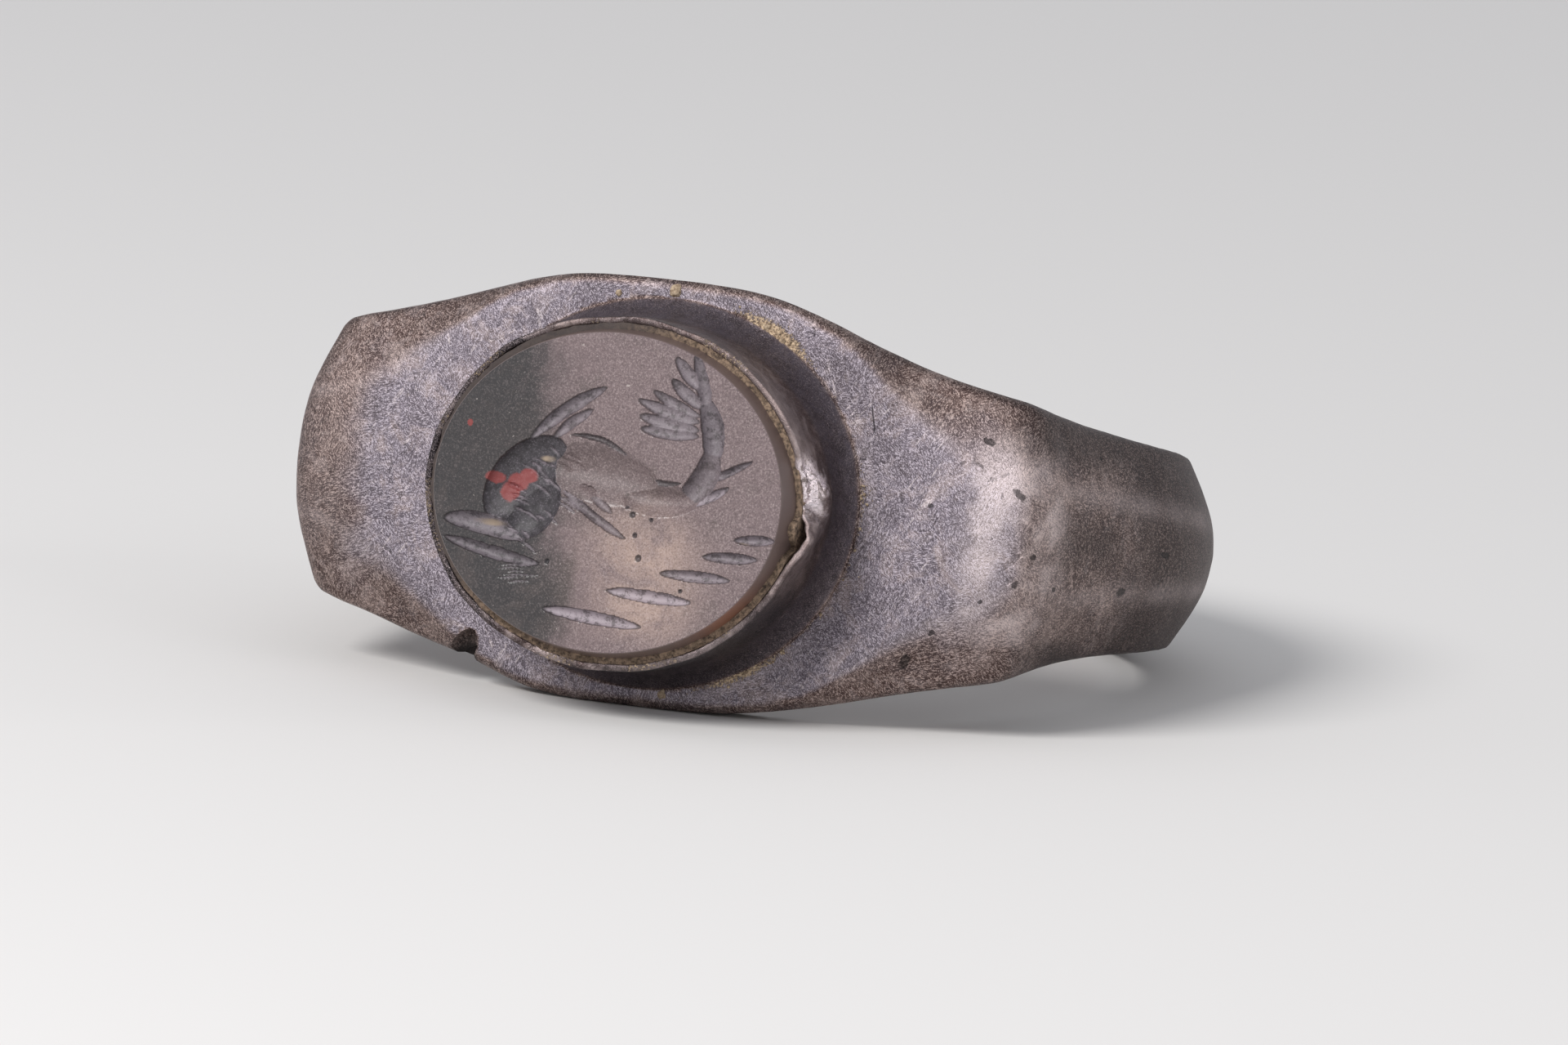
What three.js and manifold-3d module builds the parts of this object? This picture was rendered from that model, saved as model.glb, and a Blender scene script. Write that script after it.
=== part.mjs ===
// A silver finger ring with an engraved oval gemstone, lying on its side as a loose ring does.
// The hoop swells into flat shoulders that carry a tall collar, and the stone sits in the collar
// on a bed of setting paste. A sea-goat is cut into the face of the stone, over five ground strokes.
//
// Each piece is shaped in the ring's own frame: +X to the wearer's right across the bezel, +Y along
// the finger, +Z out of the bezel, and the centre of the finger hole at the origin. At the end the
// whole ring is laid down, so that it rests on the lower edges of the bezel and of the hoop's back.
import * as THREE from "three";
import { mergeVertices } from "three/addons/utils/BufferGeometryUtils.js";
import Module from "manifold-3d";

// The hoop, in millimetres and degrees. Angles about the finger hole start at the bezel.
const HOLE_RADIUS = 9.35;
const CROWN_FLATTENING = 1.4; // how far the hole's flat crown lies inside its circle
const CROWN_WALL = 1.05; // metal between the hole's crown and the flat of the shoulders
const HOOP_WALL = 2.45; // metal at the middle of the hoop, at its sides and back
const BACK_HALF_WIDTH = 2.42; // half of the hoop's width at the back
// Where the width has fallen half of the way from bezel to back, and how suddenly it falls.
const LEFT_NARROWING = { angle: 47.5, power: 3.5 };
const RIGHT_NARROWING = { angle: 46.5, power: 3.1 };
const SHOULDER_FLAT = 2.8; // flat of the shoulder beyond the collar's foot, before it falls
const SHOULDER_FALL = 13; // slope of the shoulder beyond its flat
const SIDE_LEAN = 6.2; // lean of the straight side below the shoulder's corner
const OUTLINE_CRISPNESS = 45; // a higher power leaves a sharper corner
const HOLE_CRISPNESS = 12;

// The flanks, the two bevels that leave a narrow flat along the middle of the hoop.
const FLANK_DROP = 1.02; // how far a flank falls from the flat to the hoop's edge
const BEZEL_FLAT_SHARE = 0.94; // share of the half width that stays flat beside the stone
const SHOULDER_FLAT_SHARE = 0.42; // at the shoulders
const BACK_FLAT_SHARE = 0.34; // and at the back
const FLANK_START_ANGLE = 27;
const FLANK_END_ANGLE = 52;
const EDGE_ROUNDING = 0.16;

// The ring is handmade: its right shoulder sags a little and its stone sits low on the bezel.
const SAG = 0.24;
const SAG_ANGLE = 43;
const SAG_SPREAD = 19;
const SETTING_SHIFT = 0.12;

// The stone and its setting.
const STONE_FACE_LENGTH = 10;
const STONE_FACE_WIDTH = 8.5;
const STONE_THICKNESS = 2.85;
const BEVEL_RUN = 0.14;
const BEVEL_DROP = 0.6;
const STONE_TAPER = 0.35; // how much narrower the stone's hidden base is, on each side
const FIGURE_TURN = 2; // the figure is a little askew, turned to the left
const STONE_STANDOFF = 0.5; // how far the face stands above the rim of the collar
const PASTE_WALL = 0.09;
const PASTE_FLOOR = 0.5;
const CLEARANCE = 0.03;
const RIM_WALL = 0.2;
const RIM_ROUNDING = 0.06;
const RIM_LIP = 0.04; // how far the rim stands out over the hollow wall below it
const FLARE_ALONG = 0.4; // how far the collar's foot spreads beyond its rim, along the bezel
const FLARE_ACROSS = 0.52; // and across it
const FLARE_POWER = 7; // a higher power keeps the spread nearer to the foot
const GROOVE_WIDTH = 0.16; // a shallow groove runs round the collar's foot
const GROOVE_DEPTH = 0.08;
const COLLAR_SINK = 0.35; // how deep the collar runs into the shoulders, to join them
const LEDGE = 0.46; // flat of the bezel left beside the collar's foot

// Damage: a dent in the rim of the collar, a chipped edge and the notch in it.
const DENT_ANGLE = 2; // from the bezel's right-hand end, turning towards the stone's top
const DENT_SPREAD = 13;
const DENT_DROP = 0.32;
const DENT_OUTWARD = 0.2;
const CHIP_ANGLE = -30; // about the finger hole, to the left of the bezel
const CHIP_SPREAD = 7;
const CHIP_DEPTH = 0.14;
const NOTCH_WIDTH = 0.8;
const NOTCH_DEPTH = 1.0;
const NOTCH_SINK = 0.9; // leaves a thin wall towards the finger hole
const NOTCH_LEAN = 30;

const RESTING_TRIM = 0.1; // taken off the two lowest edges, so that the ring has flats to lie on

const HOOP_STEPS = 108;
const COLLAR_STEPS = 72;
const COLLAR_LEVELS = 4;
const CUT_SIDES = 10;
const CUT_RINGS = 8;
const CUT_BLUNTNESS = 0.3; // a lower power makes the ends of the engraver's cuts blunter

const degrees = THREE.MathUtils.degToRad;
const smooth = THREE.MathUtils.smoothstep;
const lerp = THREE.MathUtils.lerp;

// Heights above the centre of the finger hole, along the bezel's axis.
const crownHeight = HOLE_RADIUS - CROWN_FLATTENING;
const shoulderHeight = crownHeight + CROWN_WALL;
const pasteBase = shoulderHeight + CLEARANCE;
const stoneBase = pasteBase + PASTE_FLOOR + CLEARANCE;
const stoneFace = stoneBase + STONE_THICKNESS;
const rimHeight = stoneFace - STONE_STANDOFF;

// Half sizes across the setting, measured along the bezel (a) and across it (b), from the face outwards.
const face = { a: STONE_FACE_LENGTH / 2, b: STONE_FACE_WIDTH / 2 };
const grown = (oval, by, byAcross = by) => ({ a: oval.a + by, b: oval.b + byAcross });
const girdle = grown(face, BEVEL_RUN);
const pasteInside = grown(girdle, CLEARANCE);
const pasteOutside = grown(pasteInside, PASTE_WALL);
const collarInside = grown(pasteOutside, CLEARANCE);
const rim = grown(collarInside, RIM_WALL);
const foot = grown(rim, FLARE_ALONG, FLARE_ACROSS);

const hoopRadius = HOLE_RADIUS + HOOP_WALL;
const bezelHalfWidth = foot.b + LEDGE;

const wasm = await Module();
wasm.setup();

// Joins a three.js geometry's vertices and makes it a solid that can be joined and cut.
function solidOf(geometry) {
  const bare = geometry.clone();
  bare.deleteAttribute("normal");
  bare.deleteAttribute("uv");
  const merged = mergeVertices(bare, 1e-4);
  return new wasm.Manifold(
    new wasm.Mesh({
      numProp: 3,
      vertProperties: merged.attributes.position.array,
      triVerts: new Uint32Array(merged.index.array),
    }),
  );
}

function meshOf(solid, name, material) {
  const { vertProperties, triVerts } = solid.getMesh();
  const geometry = new THREE.BufferGeometry();
  geometry.setAttribute("position", new THREE.BufferAttribute(vertProperties, 3));
  geometry.setIndex(new THREE.BufferAttribute(triVerts, 1));
  geometry.computeVertexNormals();
  const mesh = new THREE.Mesh(geometry, material);
  mesh.name = name;
  return mesh;
}

// Turns a closed section about an axis, and puts each of its points where place(point, angle) says.
function turned(section, steps, place) {
  const stations = section.map((_, i) => new THREE.Vector2(1, i / section.length));
  const geometry = new THREE.LatheGeometry(stations, steps);
  const position = geometry.attributes.position;
  for (let i = 0; i < position.count; i++) {
    const angle = Math.atan2(position.getX(i), position.getZ(i));
    position.setXYZ(i, ...place(section[i % section.length], angle));
  }
  return geometry;
}

// The smallest of several radii, with its corners softened.
function softLeast(radii, crispness) {
  const sum = radii.reduce((total, radius) => total + radius ** -crispness, 0);
  return sum ** (-1 / crispness);
}

// Distance from the hole's centre to a straight line, along a ray at an angle to the line's normal.
function toLine(distance, angle) {
  const cosine = Math.cos(angle);
  return cosine > 1e-3 ? distance / cosine : 1e3;
}

function holeRadiusAt(angle) {
  return softLeast([HOLE_RADIUS, toLine(crownHeight, angle)], HOLE_CRISPNESS);
}

// The hoop's outline, seen along the finger: flat shoulders, a slope, a straight side and a round back.
function outlineRadiusAt(angle) {
  const turn = Math.abs(angle);
  const fall = degrees(SHOULDER_FALL);
  const side = degrees(90 - SIDE_LEAN);
  const slope = (foot.a + SHOULDER_FLAT) * Math.sin(fall) + shoulderHeight * Math.cos(fall);
  return softLeast(
    [
      toLine(shoulderHeight, turn),
      toLine(slope, turn - fall),
      turn < side ? toLine(hoopRadius, turn - side) : hoopRadius,
    ],
    OUTLINE_CRISPNESS,
  );
}

function halfWidthAt(angle) {
  const narrowing = angle < 0 ? LEFT_NARROWING : RIGHT_NARROWING;
  const share = 1 / (1 + (Math.abs(angle) / degrees(narrowing.angle)) ** narrowing.power);
  return lerp(BACK_HALF_WIDTH, bezelHalfWidth, share);
}

// A hump of unit height about a middle, for what fades out on both sides of it.
function hump(value, middle, spread) {
  return Math.exp(-(((value - middle) / spread) ** 2));
}

// Half of the hoop's section, from its middle to its edge and back inside. Each point has a share of
// the half width, a share of the flank's drop, or a depth from the outside to the hole.
const halfSection = [
  { name: "middle", outer: true, flat: 0 },
  { name: "flat", outer: true, flat: 0.6 },
  { name: "crest", outer: true, flat: 1 },
  { name: "flank", outer: true, fall: 0.5 },
  { name: "flank end", outer: true, fall: 1, inset: EDGE_ROUNDING },
  { name: "edge", outer: true, fall: 1, below: EDGE_ROUNDING },
  { name: "inner edge", above: EDGE_ROUNDING },
  { name: "hole end", inset: EDGE_ROUNDING },
  { name: "hole half", share: 0.5 },
];

// The whole section, up the outside from the lower edge and down the inside.
function wholeSection() {
  const outer = halfSection.filter((point) => point.outer);
  const inner = [...halfSection.filter((point) => !point.outer), { name: "hole middle", share: 0 }];
  const side = (points, sign) => points.map((point) => ({ ...point, sign }));
  const loop = [
    ...side(outer.slice(1), -1).reverse(),
    ...side(outer, 1),
    ...side(inner, 1),
    ...side(inner.slice(0, -1), -1).reverse(),
  ];
  return [...loop, loop[0]];
}

function placeOnHoop(point, angle) {
  const turn = Math.abs(angle);
  const chip = point.sign < 0 ? CHIP_DEPTH * hump(angle, degrees(CHIP_ANGLE), degrees(CHIP_SPREAD)) : 0;
  const sag = SAG * hump(angle, degrees(SAG_ANGLE), degrees(SAG_SPREAD));
  const half = halfWidthAt(angle) - chip;
  const flank = smooth(turn, degrees(FLANK_START_ANGLE), degrees(FLANK_END_ANGLE));
  const hoopShare = lerp(SHOULDER_FLAT_SHARE, BACK_FLAT_SHARE, smooth(turn, Math.PI / 3, Math.PI / 1.5));
  const flat = half * lerp(BEZEL_FLAT_SHARE, hoopShare, flank);
  const drop = FLANK_DROP * smooth(turn, degrees(FLANK_START_ANGLE) / 2, degrees(FLANK_END_ANGLE));
  let across, radius;
  if (point.outer) {
    const fall = point.fall ?? 0;
    across = point.fall ? lerp(flat, half, fall) - (point.inset ?? 0) : flat * point.flat;
    radius = outlineRadiusAt(angle) - drop * fall - (point.below ?? 0);
  } else {
    across = "share" in point ? half * point.share : half - (point.inset ?? 0);
    radius = holeRadiusAt(angle) + (point.above ?? 0);
  }
  return [radius * Math.sin(angle), point.sign * across - sag, radius * Math.cos(angle)];
}

// A point of an oval ring about the setting's axis. The collar's foot isn't shifted with the rest.
function placeOnOval({ a, b, z, shift = 1 }, angle) {
  return [a * Math.sin(angle), -b * Math.cos(angle) - SETTING_SHIFT * shift, z];
}

// The collar's section, from its sunk foot up the hollow outside, over the rim and down the inside.
function collarSection() {
  const groove = { z: shoulderHeight - GROOVE_DEPTH, shift: 0 };
  const sunk = shoulderHeight - COLLAR_SINK;
  const outside = [
    { ...foot, z: sunk, shift: 0 },
    { ...foot, ...groove },
    { ...grown(foot, -GROOVE_WIDTH), ...groove },
  ];
  for (let level = 1; level < COLLAR_LEVELS; level++) {
    const height = (level / COLLAR_LEVELS) ** 1.5;
    const spread = (1 - height) ** FLARE_POWER;
    outside.push({
      ...grown(rim, FLARE_ALONG * spread - RIM_LIP, FLARE_ACROSS * spread - RIM_LIP),
      z: lerp(shoulderHeight, rimHeight, height),
      shift: height ** 0.5,
    });
  }
  const top = [
    { ...rim, z: rimHeight - RIM_ROUNDING },
    { ...grown(rim, -RIM_ROUNDING), z: rimHeight },
    { ...grown(collarInside, RIM_ROUNDING / 2), z: rimHeight },
    { ...collarInside, z: rimHeight - RIM_ROUNDING },
  ];
  return [...outside, ...top, { ...collarInside, z: sunk }, outside[0]];
}

// The dent pushes the rim out and down on the bezel's right-hand side.
function placeOnCollar(point, angle) {
  const [x, y, z] = placeOnOval(point, angle);
  const share = hump(Math.atan2(y, x), degrees(DENT_ANGLE), degrees(DENT_SPREAD));
  const height = smooth(z, shoulderHeight + (rimHeight - shoulderHeight) / 2, rimHeight);
  const reach = Math.hypot(x, y);
  const outward = 1 + (DENT_OUTWARD * share * height) / reach;
  return [x * outward, y * outward, z - DENT_DROP * share * height];
}

// A ring of metal removed round the collar's foot, so that the shoulders keep a shallow groove there.
function footGroove() {
  const inner = grown(foot, -GROOVE_WIDTH * 2);
  const low = { z: shoulderHeight - GROOVE_DEPTH, shift: 0 };
  const high = { z: shoulderHeight + GROOVE_DEPTH, shift: 0 };
  const section = [
    { ...foot, ...low },
    { ...grown(foot, GROOVE_DEPTH), ...high },
    { ...inner, ...high },
    { ...inner, ...low },
    { ...foot, ...low },
  ];
  return turned(section, COLLAR_STEPS, placeOnOval);
}

// The notch in the chipped edge, a leaning wedge that stops short of the finger hole.
function notch() {
  const angle = degrees(CHIP_ANGLE);
  const wedge = new THREE.CylinderGeometry(1, 1, 2 * NOTCH_SINK, 4);
  wedge.scale(NOTCH_WIDTH / 2, 1, NOTCH_DEPTH);
  wedge.rotateX(Math.PI / 2);
  wedge.rotateZ(-degrees(NOTCH_LEAN));
  wedge.translate(outlineRadiusAt(angle) * Math.sin(angle), CHIP_DEPTH - halfWidthAt(angle), shoulderHeight);
  return wedge;
}

// One cut of the engraver's wheel: a shallow spindle with pointed ends, bowed sideways.
// Places and sizes are shares of half the length of the stone's face.
function wheelCut({ from, to, width, depth, bow = 0 }) {
  const unit = face.a;
  const geometry = new THREE.SphereGeometry(1, CUT_SIDES, CUT_RINGS);
  geometry.rotateZ(Math.PI / 2);
  const run = new THREE.Vector2(to[0] - from[0], to[1] - from[1]);
  const position = geometry.attributes.position;
  for (let i = 0; i < position.count; i++) {
    const along = THREE.MathUtils.clamp(position.getX(i), -1, 1);
    const pointed = Math.max(1 - along * along, 0) ** (CUT_BLUNTNESS / 2);
    position.setXYZ(
      i,
      (along * run.length()) / 2,
      (position.getY(i) * pointed * width) / 2 + bow * (1 - along * along),
      position.getZ(i) * pointed * depth,
    );
  }
  geometry.rotateZ(run.angle());
  geometry.translate((from[0] + to[0]) / 2, (from[1] + to[1]) / 2, 0);
  geometry.scale(unit, unit, unit);
  geometry.rotateZ(degrees(FIGURE_TURN));
  geometry.translate(0, -SETTING_SHIFT, stoneFace);
  return geometry;
}

// The sea-goat, facing left with its tail curled up over its back.
const SEA_GOAT = {
  neck: { from: [-0.68, -0.17], to: [-0.27, 0.25], width: 0.32, depth: 0.075, bow: 0.02 },
  chest: { from: [-0.54, -0.27], to: [-0.3, 0.04], width: 0.26, depth: 0.08 },
  barrel: { from: [-0.42, 0.12], to: [0.3, 0.04], width: 0.33, depth: 0.085, bow: 0.02 },
  loin: { from: [0.0, 0.03], to: [0.55, 0.0], width: 0.19, depth: 0.07, bow: -0.03 },
  upper_horn: { from: [-0.47, 0.25], to: [-0.05, 0.56], width: 0.062, depth: 0.034, bow: 0.022 },
  lower_horn: { from: [-0.34, 0.26], to: [-0.12, 0.435], width: 0.05, depth: 0.028, bow: 0.01 },
  upper_foreleg: { from: [-0.93, -0.2], to: [-0.44, -0.28], width: 0.115, depth: 0.05, bow: 0.02 },
  lower_foreleg: { from: [-0.92, -0.3], to: [-0.35, -0.41], width: 0.07, depth: 0.04, bow: -0.01 },
  hind_leg: { from: [-0.26, 0.0], to: [0.13, -0.24], width: 0.05, depth: 0.034, bow: -0.012 },
  short_leg: { from: [-0.14, 0.02], to: [0.04, -0.11], width: 0.045, depth: 0.026 },
  tail_root: { from: [0.4, -0.05], to: [0.6, 0.31], width: 0.15, depth: 0.06, bow: -0.05 },
  tail: { from: [0.58, 0.16], to: [0.5, 0.56], width: 0.13, depth: 0.055, bow: -0.04 },
  tail_stem: { from: [0.54, 0.42], to: [0.44, 0.78], width: 0.08, depth: 0.04, bow: -0.01 },
  upper_fin: { from: [0.48, 0.08], to: [0.82, 0.23], width: 0.044, depth: 0.03, bow: -0.012 },
  lower_fin: { from: [0.45, -0.04], to: [0.7, 0.08], width: 0.052, depth: 0.03, bow: -0.008 },
};

// The lobes of the tail fan out from its stem. Each has its root, length, direction and width.
const TAIL_LOBES = [
  { root: [0.5, 0.58], length: 0.24, direction: 139, width: 0.05 },
  { root: [0.51, 0.49], length: 0.22, direction: 146, width: 0.05 },
  { root: [0.5, 0.42], length: 0.31, direction: 159, width: 0.045 },
  { root: [0.5, 0.4], length: 0.38, direction: 165, width: 0.052 },
  { root: [0.5, 0.37], length: 0.36, direction: 171, width: 0.055 },
  { root: [0.5, 0.35], length: 0.34, direction: 177, width: 0.05 },
];
const LOBE_DEPTH = 0.03;

// The ground strokes step down to the left, and each is longer than the one before it.
const GROUND_STROKES = 5;
const GROUND_START = [0.868, -0.19];
const GROUND_DEPTH = 0.034;

function tailLobe({ root, length, direction, width }) {
  const angle = degrees(direction);
  const tip = [root[0] + length * Math.cos(angle), root[1] + length * Math.sin(angle)];
  return { from: root, to: tip, width, depth: LOBE_DEPTH, bow: 0.008 };
}

function groundStroke(step) {
  const middle = [
    GROUND_START[0] - 0.1 * step - 0.031 * step * step,
    GROUND_START[1] - 0.098 * step - 0.0055 * step * step,
  ];
  const half = 0.115 + 0.045 * step;
  const angle = degrees(3 - 2.2 * step);
  const reach = [half * Math.cos(angle), half * Math.sin(angle)];
  return {
    from: [middle[0] - reach[0], middle[1] - reach[1]],
    to: [middle[0] + reach[0], middle[1] + reach[1]],
    width: 0.056 + 0.004 * step,
    depth: GROUND_DEPTH,
  };
}

function engraving() {
  const cuts = [
    ...Object.values(SEA_GOAT),
    ...TAIL_LOBES.map(tailLobe),
    ...Array.from({ length: GROUND_STROKES }, (_, step) => groundStroke(step)),
  ];
  return wasm.Manifold.union(cuts.map((cut) => solidOf(wheelCut(cut))));
}

function makeStone() {
  const base = grown(girdle, -STONE_TAPER);
  const section = [
    { a: 0, b: 0, z: stoneBase },
    { ...base, z: stoneBase },
    { ...girdle, z: stoneBase + STONE_TAPER },
    { ...girdle, z: stoneFace - BEVEL_DROP },
    { ...face, z: stoneFace },
    { a: 0, b: 0, z: stoneFace },
  ];
  return solidOf(turned(section, COLLAR_STEPS, placeOnOval)).subtract(engraving());
}

// The paste fills the gap round the stone and under it. Its top stays just under the rim.
function makePaste() {
  const top = rimHeight - RIM_ROUNDING - DENT_DROP;
  const floor = pasteBase + PASTE_FLOOR;
  const section = [
    { a: 0, b: 0, z: pasteBase },
    { ...pasteOutside, z: pasteBase },
    { ...pasteOutside, z: top },
    { ...pasteInside, z: top },
    { ...pasteInside, z: floor },
    { a: 0, b: 0, z: floor },
  ];
  return solidOf(turned(section, COLLAR_STEPS, placeOnOval));
}

// How far the ring leans back when the lower edges of the bezel and the back both touch down.
const backEdgeRadius = hoopRadius - FLANK_DROP - EDGE_ROUNDING;
const bezelEdgeHeight = crownHeight + EDGE_ROUNDING;
const lean = Math.atan2(bezelHalfWidth - BACK_HALF_WIDTH, bezelEdgeHeight + backEdgeRadius);
const restingDepth =
  bezelHalfWidth * Math.cos(lean) - bezelEdgeHeight * Math.sin(lean) - RESTING_TRIM;

// Everything below the surface that the ring lies on, in the ring's own frame.
function belowRest() {
  const size = 4 * (hoopRadius + bezelHalfWidth);
  const block = new THREE.BoxGeometry(size, size, size);
  block.translate(0, -restingDepth - size / 2, 0);
  block.rotateX(lean);
  return block;
}

function makeBand() {
  const hoop = solidOf(turned(wholeSection(), HOOP_STEPS, placeOnHoop));
  const collar = solidOf(turned(collarSection(), COLLAR_STEPS, placeOnCollar));
  return hoop
    .subtract(solidOf(footGroove()))
    .add(collar)
    .subtract(solidOf(notch()))
    .subtract(solidOf(belowRest()));
}

const silver = new THREE.MeshStandardMaterial({ color: 0x6f6869, roughness: 0.5, metalness: 0.75 });
const chalcedony = new THREE.MeshStandardMaterial({ color: 0x726a66, roughness: 0.3, metalness: 0 });
const settingPaste = new THREE.MeshStandardMaterial({ color: 0x9c8763, roughness: 0.9, metalness: 0 });

const bezel = new THREE.Group();
bezel.add(meshOf(makeStone(), "engraved_stone", chalcedony));
bezel.add(meshOf(makePaste(), "setting_paste", settingPaste));

const laidDown = new THREE.Group();
laidDown.add(meshOf(makeBand(), "ring_band", silver), bezel);
laidDown.rotation.x = Math.PI / 2 - lean;

// The origin is under the middle of the ring, on the surface that it lies on.
const ring = new THREE.Group();
ring.add(laidDown);
const extent = new THREE.Box3().setFromObject(ring, true);
const middle = extent.getCenter(new THREE.Vector3());
laidDown.position.set(-middle.x, -middle.y, -extent.min.z);

export default ring;
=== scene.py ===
"""An old silver finger ring with an engraved oval stone, lying on a pale floor in soft studio light."""
import math
import random

import bmesh
import bpy
from mathutils import Matrix, Vector, noise


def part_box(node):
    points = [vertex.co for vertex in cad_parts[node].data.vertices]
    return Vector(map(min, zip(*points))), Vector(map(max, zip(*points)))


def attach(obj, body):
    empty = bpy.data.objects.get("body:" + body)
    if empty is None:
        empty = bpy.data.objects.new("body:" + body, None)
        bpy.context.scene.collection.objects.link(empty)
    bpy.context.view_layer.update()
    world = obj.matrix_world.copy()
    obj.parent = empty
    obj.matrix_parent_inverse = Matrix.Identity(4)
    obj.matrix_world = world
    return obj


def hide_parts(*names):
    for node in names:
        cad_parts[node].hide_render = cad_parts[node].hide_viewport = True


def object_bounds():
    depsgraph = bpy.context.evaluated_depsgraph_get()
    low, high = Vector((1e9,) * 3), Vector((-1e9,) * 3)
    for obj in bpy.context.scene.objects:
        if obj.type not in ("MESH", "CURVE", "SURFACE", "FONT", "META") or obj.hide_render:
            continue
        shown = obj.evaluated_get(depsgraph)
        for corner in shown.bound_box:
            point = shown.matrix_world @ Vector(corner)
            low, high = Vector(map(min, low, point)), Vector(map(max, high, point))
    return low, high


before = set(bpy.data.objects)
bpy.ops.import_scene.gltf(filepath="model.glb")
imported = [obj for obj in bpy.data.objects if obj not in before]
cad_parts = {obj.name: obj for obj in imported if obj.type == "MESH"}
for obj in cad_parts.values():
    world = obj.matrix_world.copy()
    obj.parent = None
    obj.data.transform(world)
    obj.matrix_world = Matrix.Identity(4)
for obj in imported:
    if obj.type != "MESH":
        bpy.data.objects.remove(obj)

bl_info = {
    "name": "Engraved silver ring",
    "version": (1, 0, 0),
    "blender": (4, 5, 0),
    "location": "View3D > Sidebar > Ring",
    "description": "Builds a worn silver ring, its engraved stone, the dirt on it and a small studio",
    "category": "Add Mesh",
}

CAD_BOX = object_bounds()
STONE_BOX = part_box("engraved_stone")
MM = 0.001


def srgb(red, green, blue):
    """A colour as screens show it, from 0 to 255, as the linear colour that materials use."""
    def linear(value):
        share = value / 255
        return share / 12.92 if share <= 0.04045 else ((share + 0.055) / 1.055) ** 2.4
    return (linear(red), linear(green), linear(blue))


def length(name, description, millimetres):
    return bpy.props.FloatProperty(
        name=name, description=description, default=millimetres * MM, unit="LENGTH", precision=5)


def angle(name, description, degrees):
    return bpy.props.FloatProperty(
        name=name, description=description, default=math.radians(degrees), subtype="ANGLE")


def amount(name, description, value):
    return bpy.props.FloatProperty(name=name, description=description, default=value)


def count(name, description, value):
    return bpy.props.IntProperty(name=name, description=description, default=value, min=1)


def colour(name, description, value):
    return bpy.props.FloatVectorProperty(
        name=name, description=description, default=value, min=0, max=1, size=3, subtype="COLOR")


# Sizes and colours that a user would change

class RingBandSettings(bpy.types.PropertyGroup):
    hole_radius: length("Hole radius", "Radius of the finger hole", 9.35)
    crown_flattening: length("Crown flattening", "How far the hole's flat crown lies inside its circle", 1.4)
    crown_wall: length("Crown wall", "Metal between the hole's crown and the flat shoulders", 1.05)
    hoop_wall: length("Hoop wall", "Metal at the middle of the hoop", 2.45)
    back_half_width: length("Back half width", "Half of the hoop's width at the back", 2.42)
    left_fall_angle: angle("Left narrowing", "Where the left side has narrowed half of the way", 47.5)
    left_fall_power: amount("Left narrowing power", "How suddenly the left side narrows", 3.5)
    right_fall_angle: angle("Right narrowing", "Where the right side has narrowed half of the way", 46.5)
    right_fall_power: amount("Right narrowing power", "How suddenly the right side narrows", 3.1)
    shoulder_flat: length("Shoulder flat", "Flat of the shoulder beyond the collar's foot", 2.8)
    shoulder_fall: angle("Shoulder fall", "Slope of the shoulder beyond its flat", 13)
    side_lean: angle("Side lean", "Lean of the straight side below the shoulder's corner", 6.2)
    flank_drop: length("Flank drop", "How far a flank falls from the flat to the hoop's edge", 1.02)
    edge_rounding: length("Edge rounding", "Rounding of the hoop's edges", 0.16)
    sag: length("Sag", "How far the right shoulder sags below the middle line", 0.24)
    ledge: length("Ledge", "Flat of the bezel left beside the collar's foot", 0.46)
    dent_angle: angle("Dent angle", "Where the rim is dented, from the bezel's right-hand end", 2)
    dent_drop: length("Dent drop", "How far the dent lowers the rim", 0.32)
    dent_outward: length("Dent outward", "How far the dent pushes the rim out", 0.2)
    notch_width: length("Notch width", "Width of the notch in the lower edge", 0.8)
    notch_depth: length("Notch depth", "Depth of the notch in the lower edge", 1.0)
    notch_sink: length("Notch sink", "How deep the notch is sunk into the flat", 0.9)
    edge_wear: length("Edge wear", "Extra rounding of the edges at the shoulders' corners", 0.22)
    hammering: length("Hammering", "Height of the soft unevenness left by the hammer", 0.022)
    sections: count("Sections", "Sections round the hoop", 440)
    flat_silver: colour("Flat silver", "Colour of the bluish flats beside the stone", srgb(112, 104, 113))
    flank_silver: colour("Flank silver", "Colour of the brownish hoop and flanks", srgb(80, 62, 58))
    # Worn silver also paints the highlights on the shoulders' corners, the crests and the dent
    wear_and_highlight_silver: colour("Worn silver", "Colour where handling has polished the metal", srgb(204, 190, 189))
    # Tarnish also paints the dark reflection on the collar's glossy wall
    tarnish_and_dark_reflection: colour("Tarnish", "Black tarnish on the collar's wall", srgb(34, 30, 32))
    foot_silver: colour("Foot silver", "Smooth dark band at the collar's foot", srgb(84, 77, 84))
    dirt: colour("Dirt", "Beige dirt in the corners", srgb(214, 190, 160))


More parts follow.
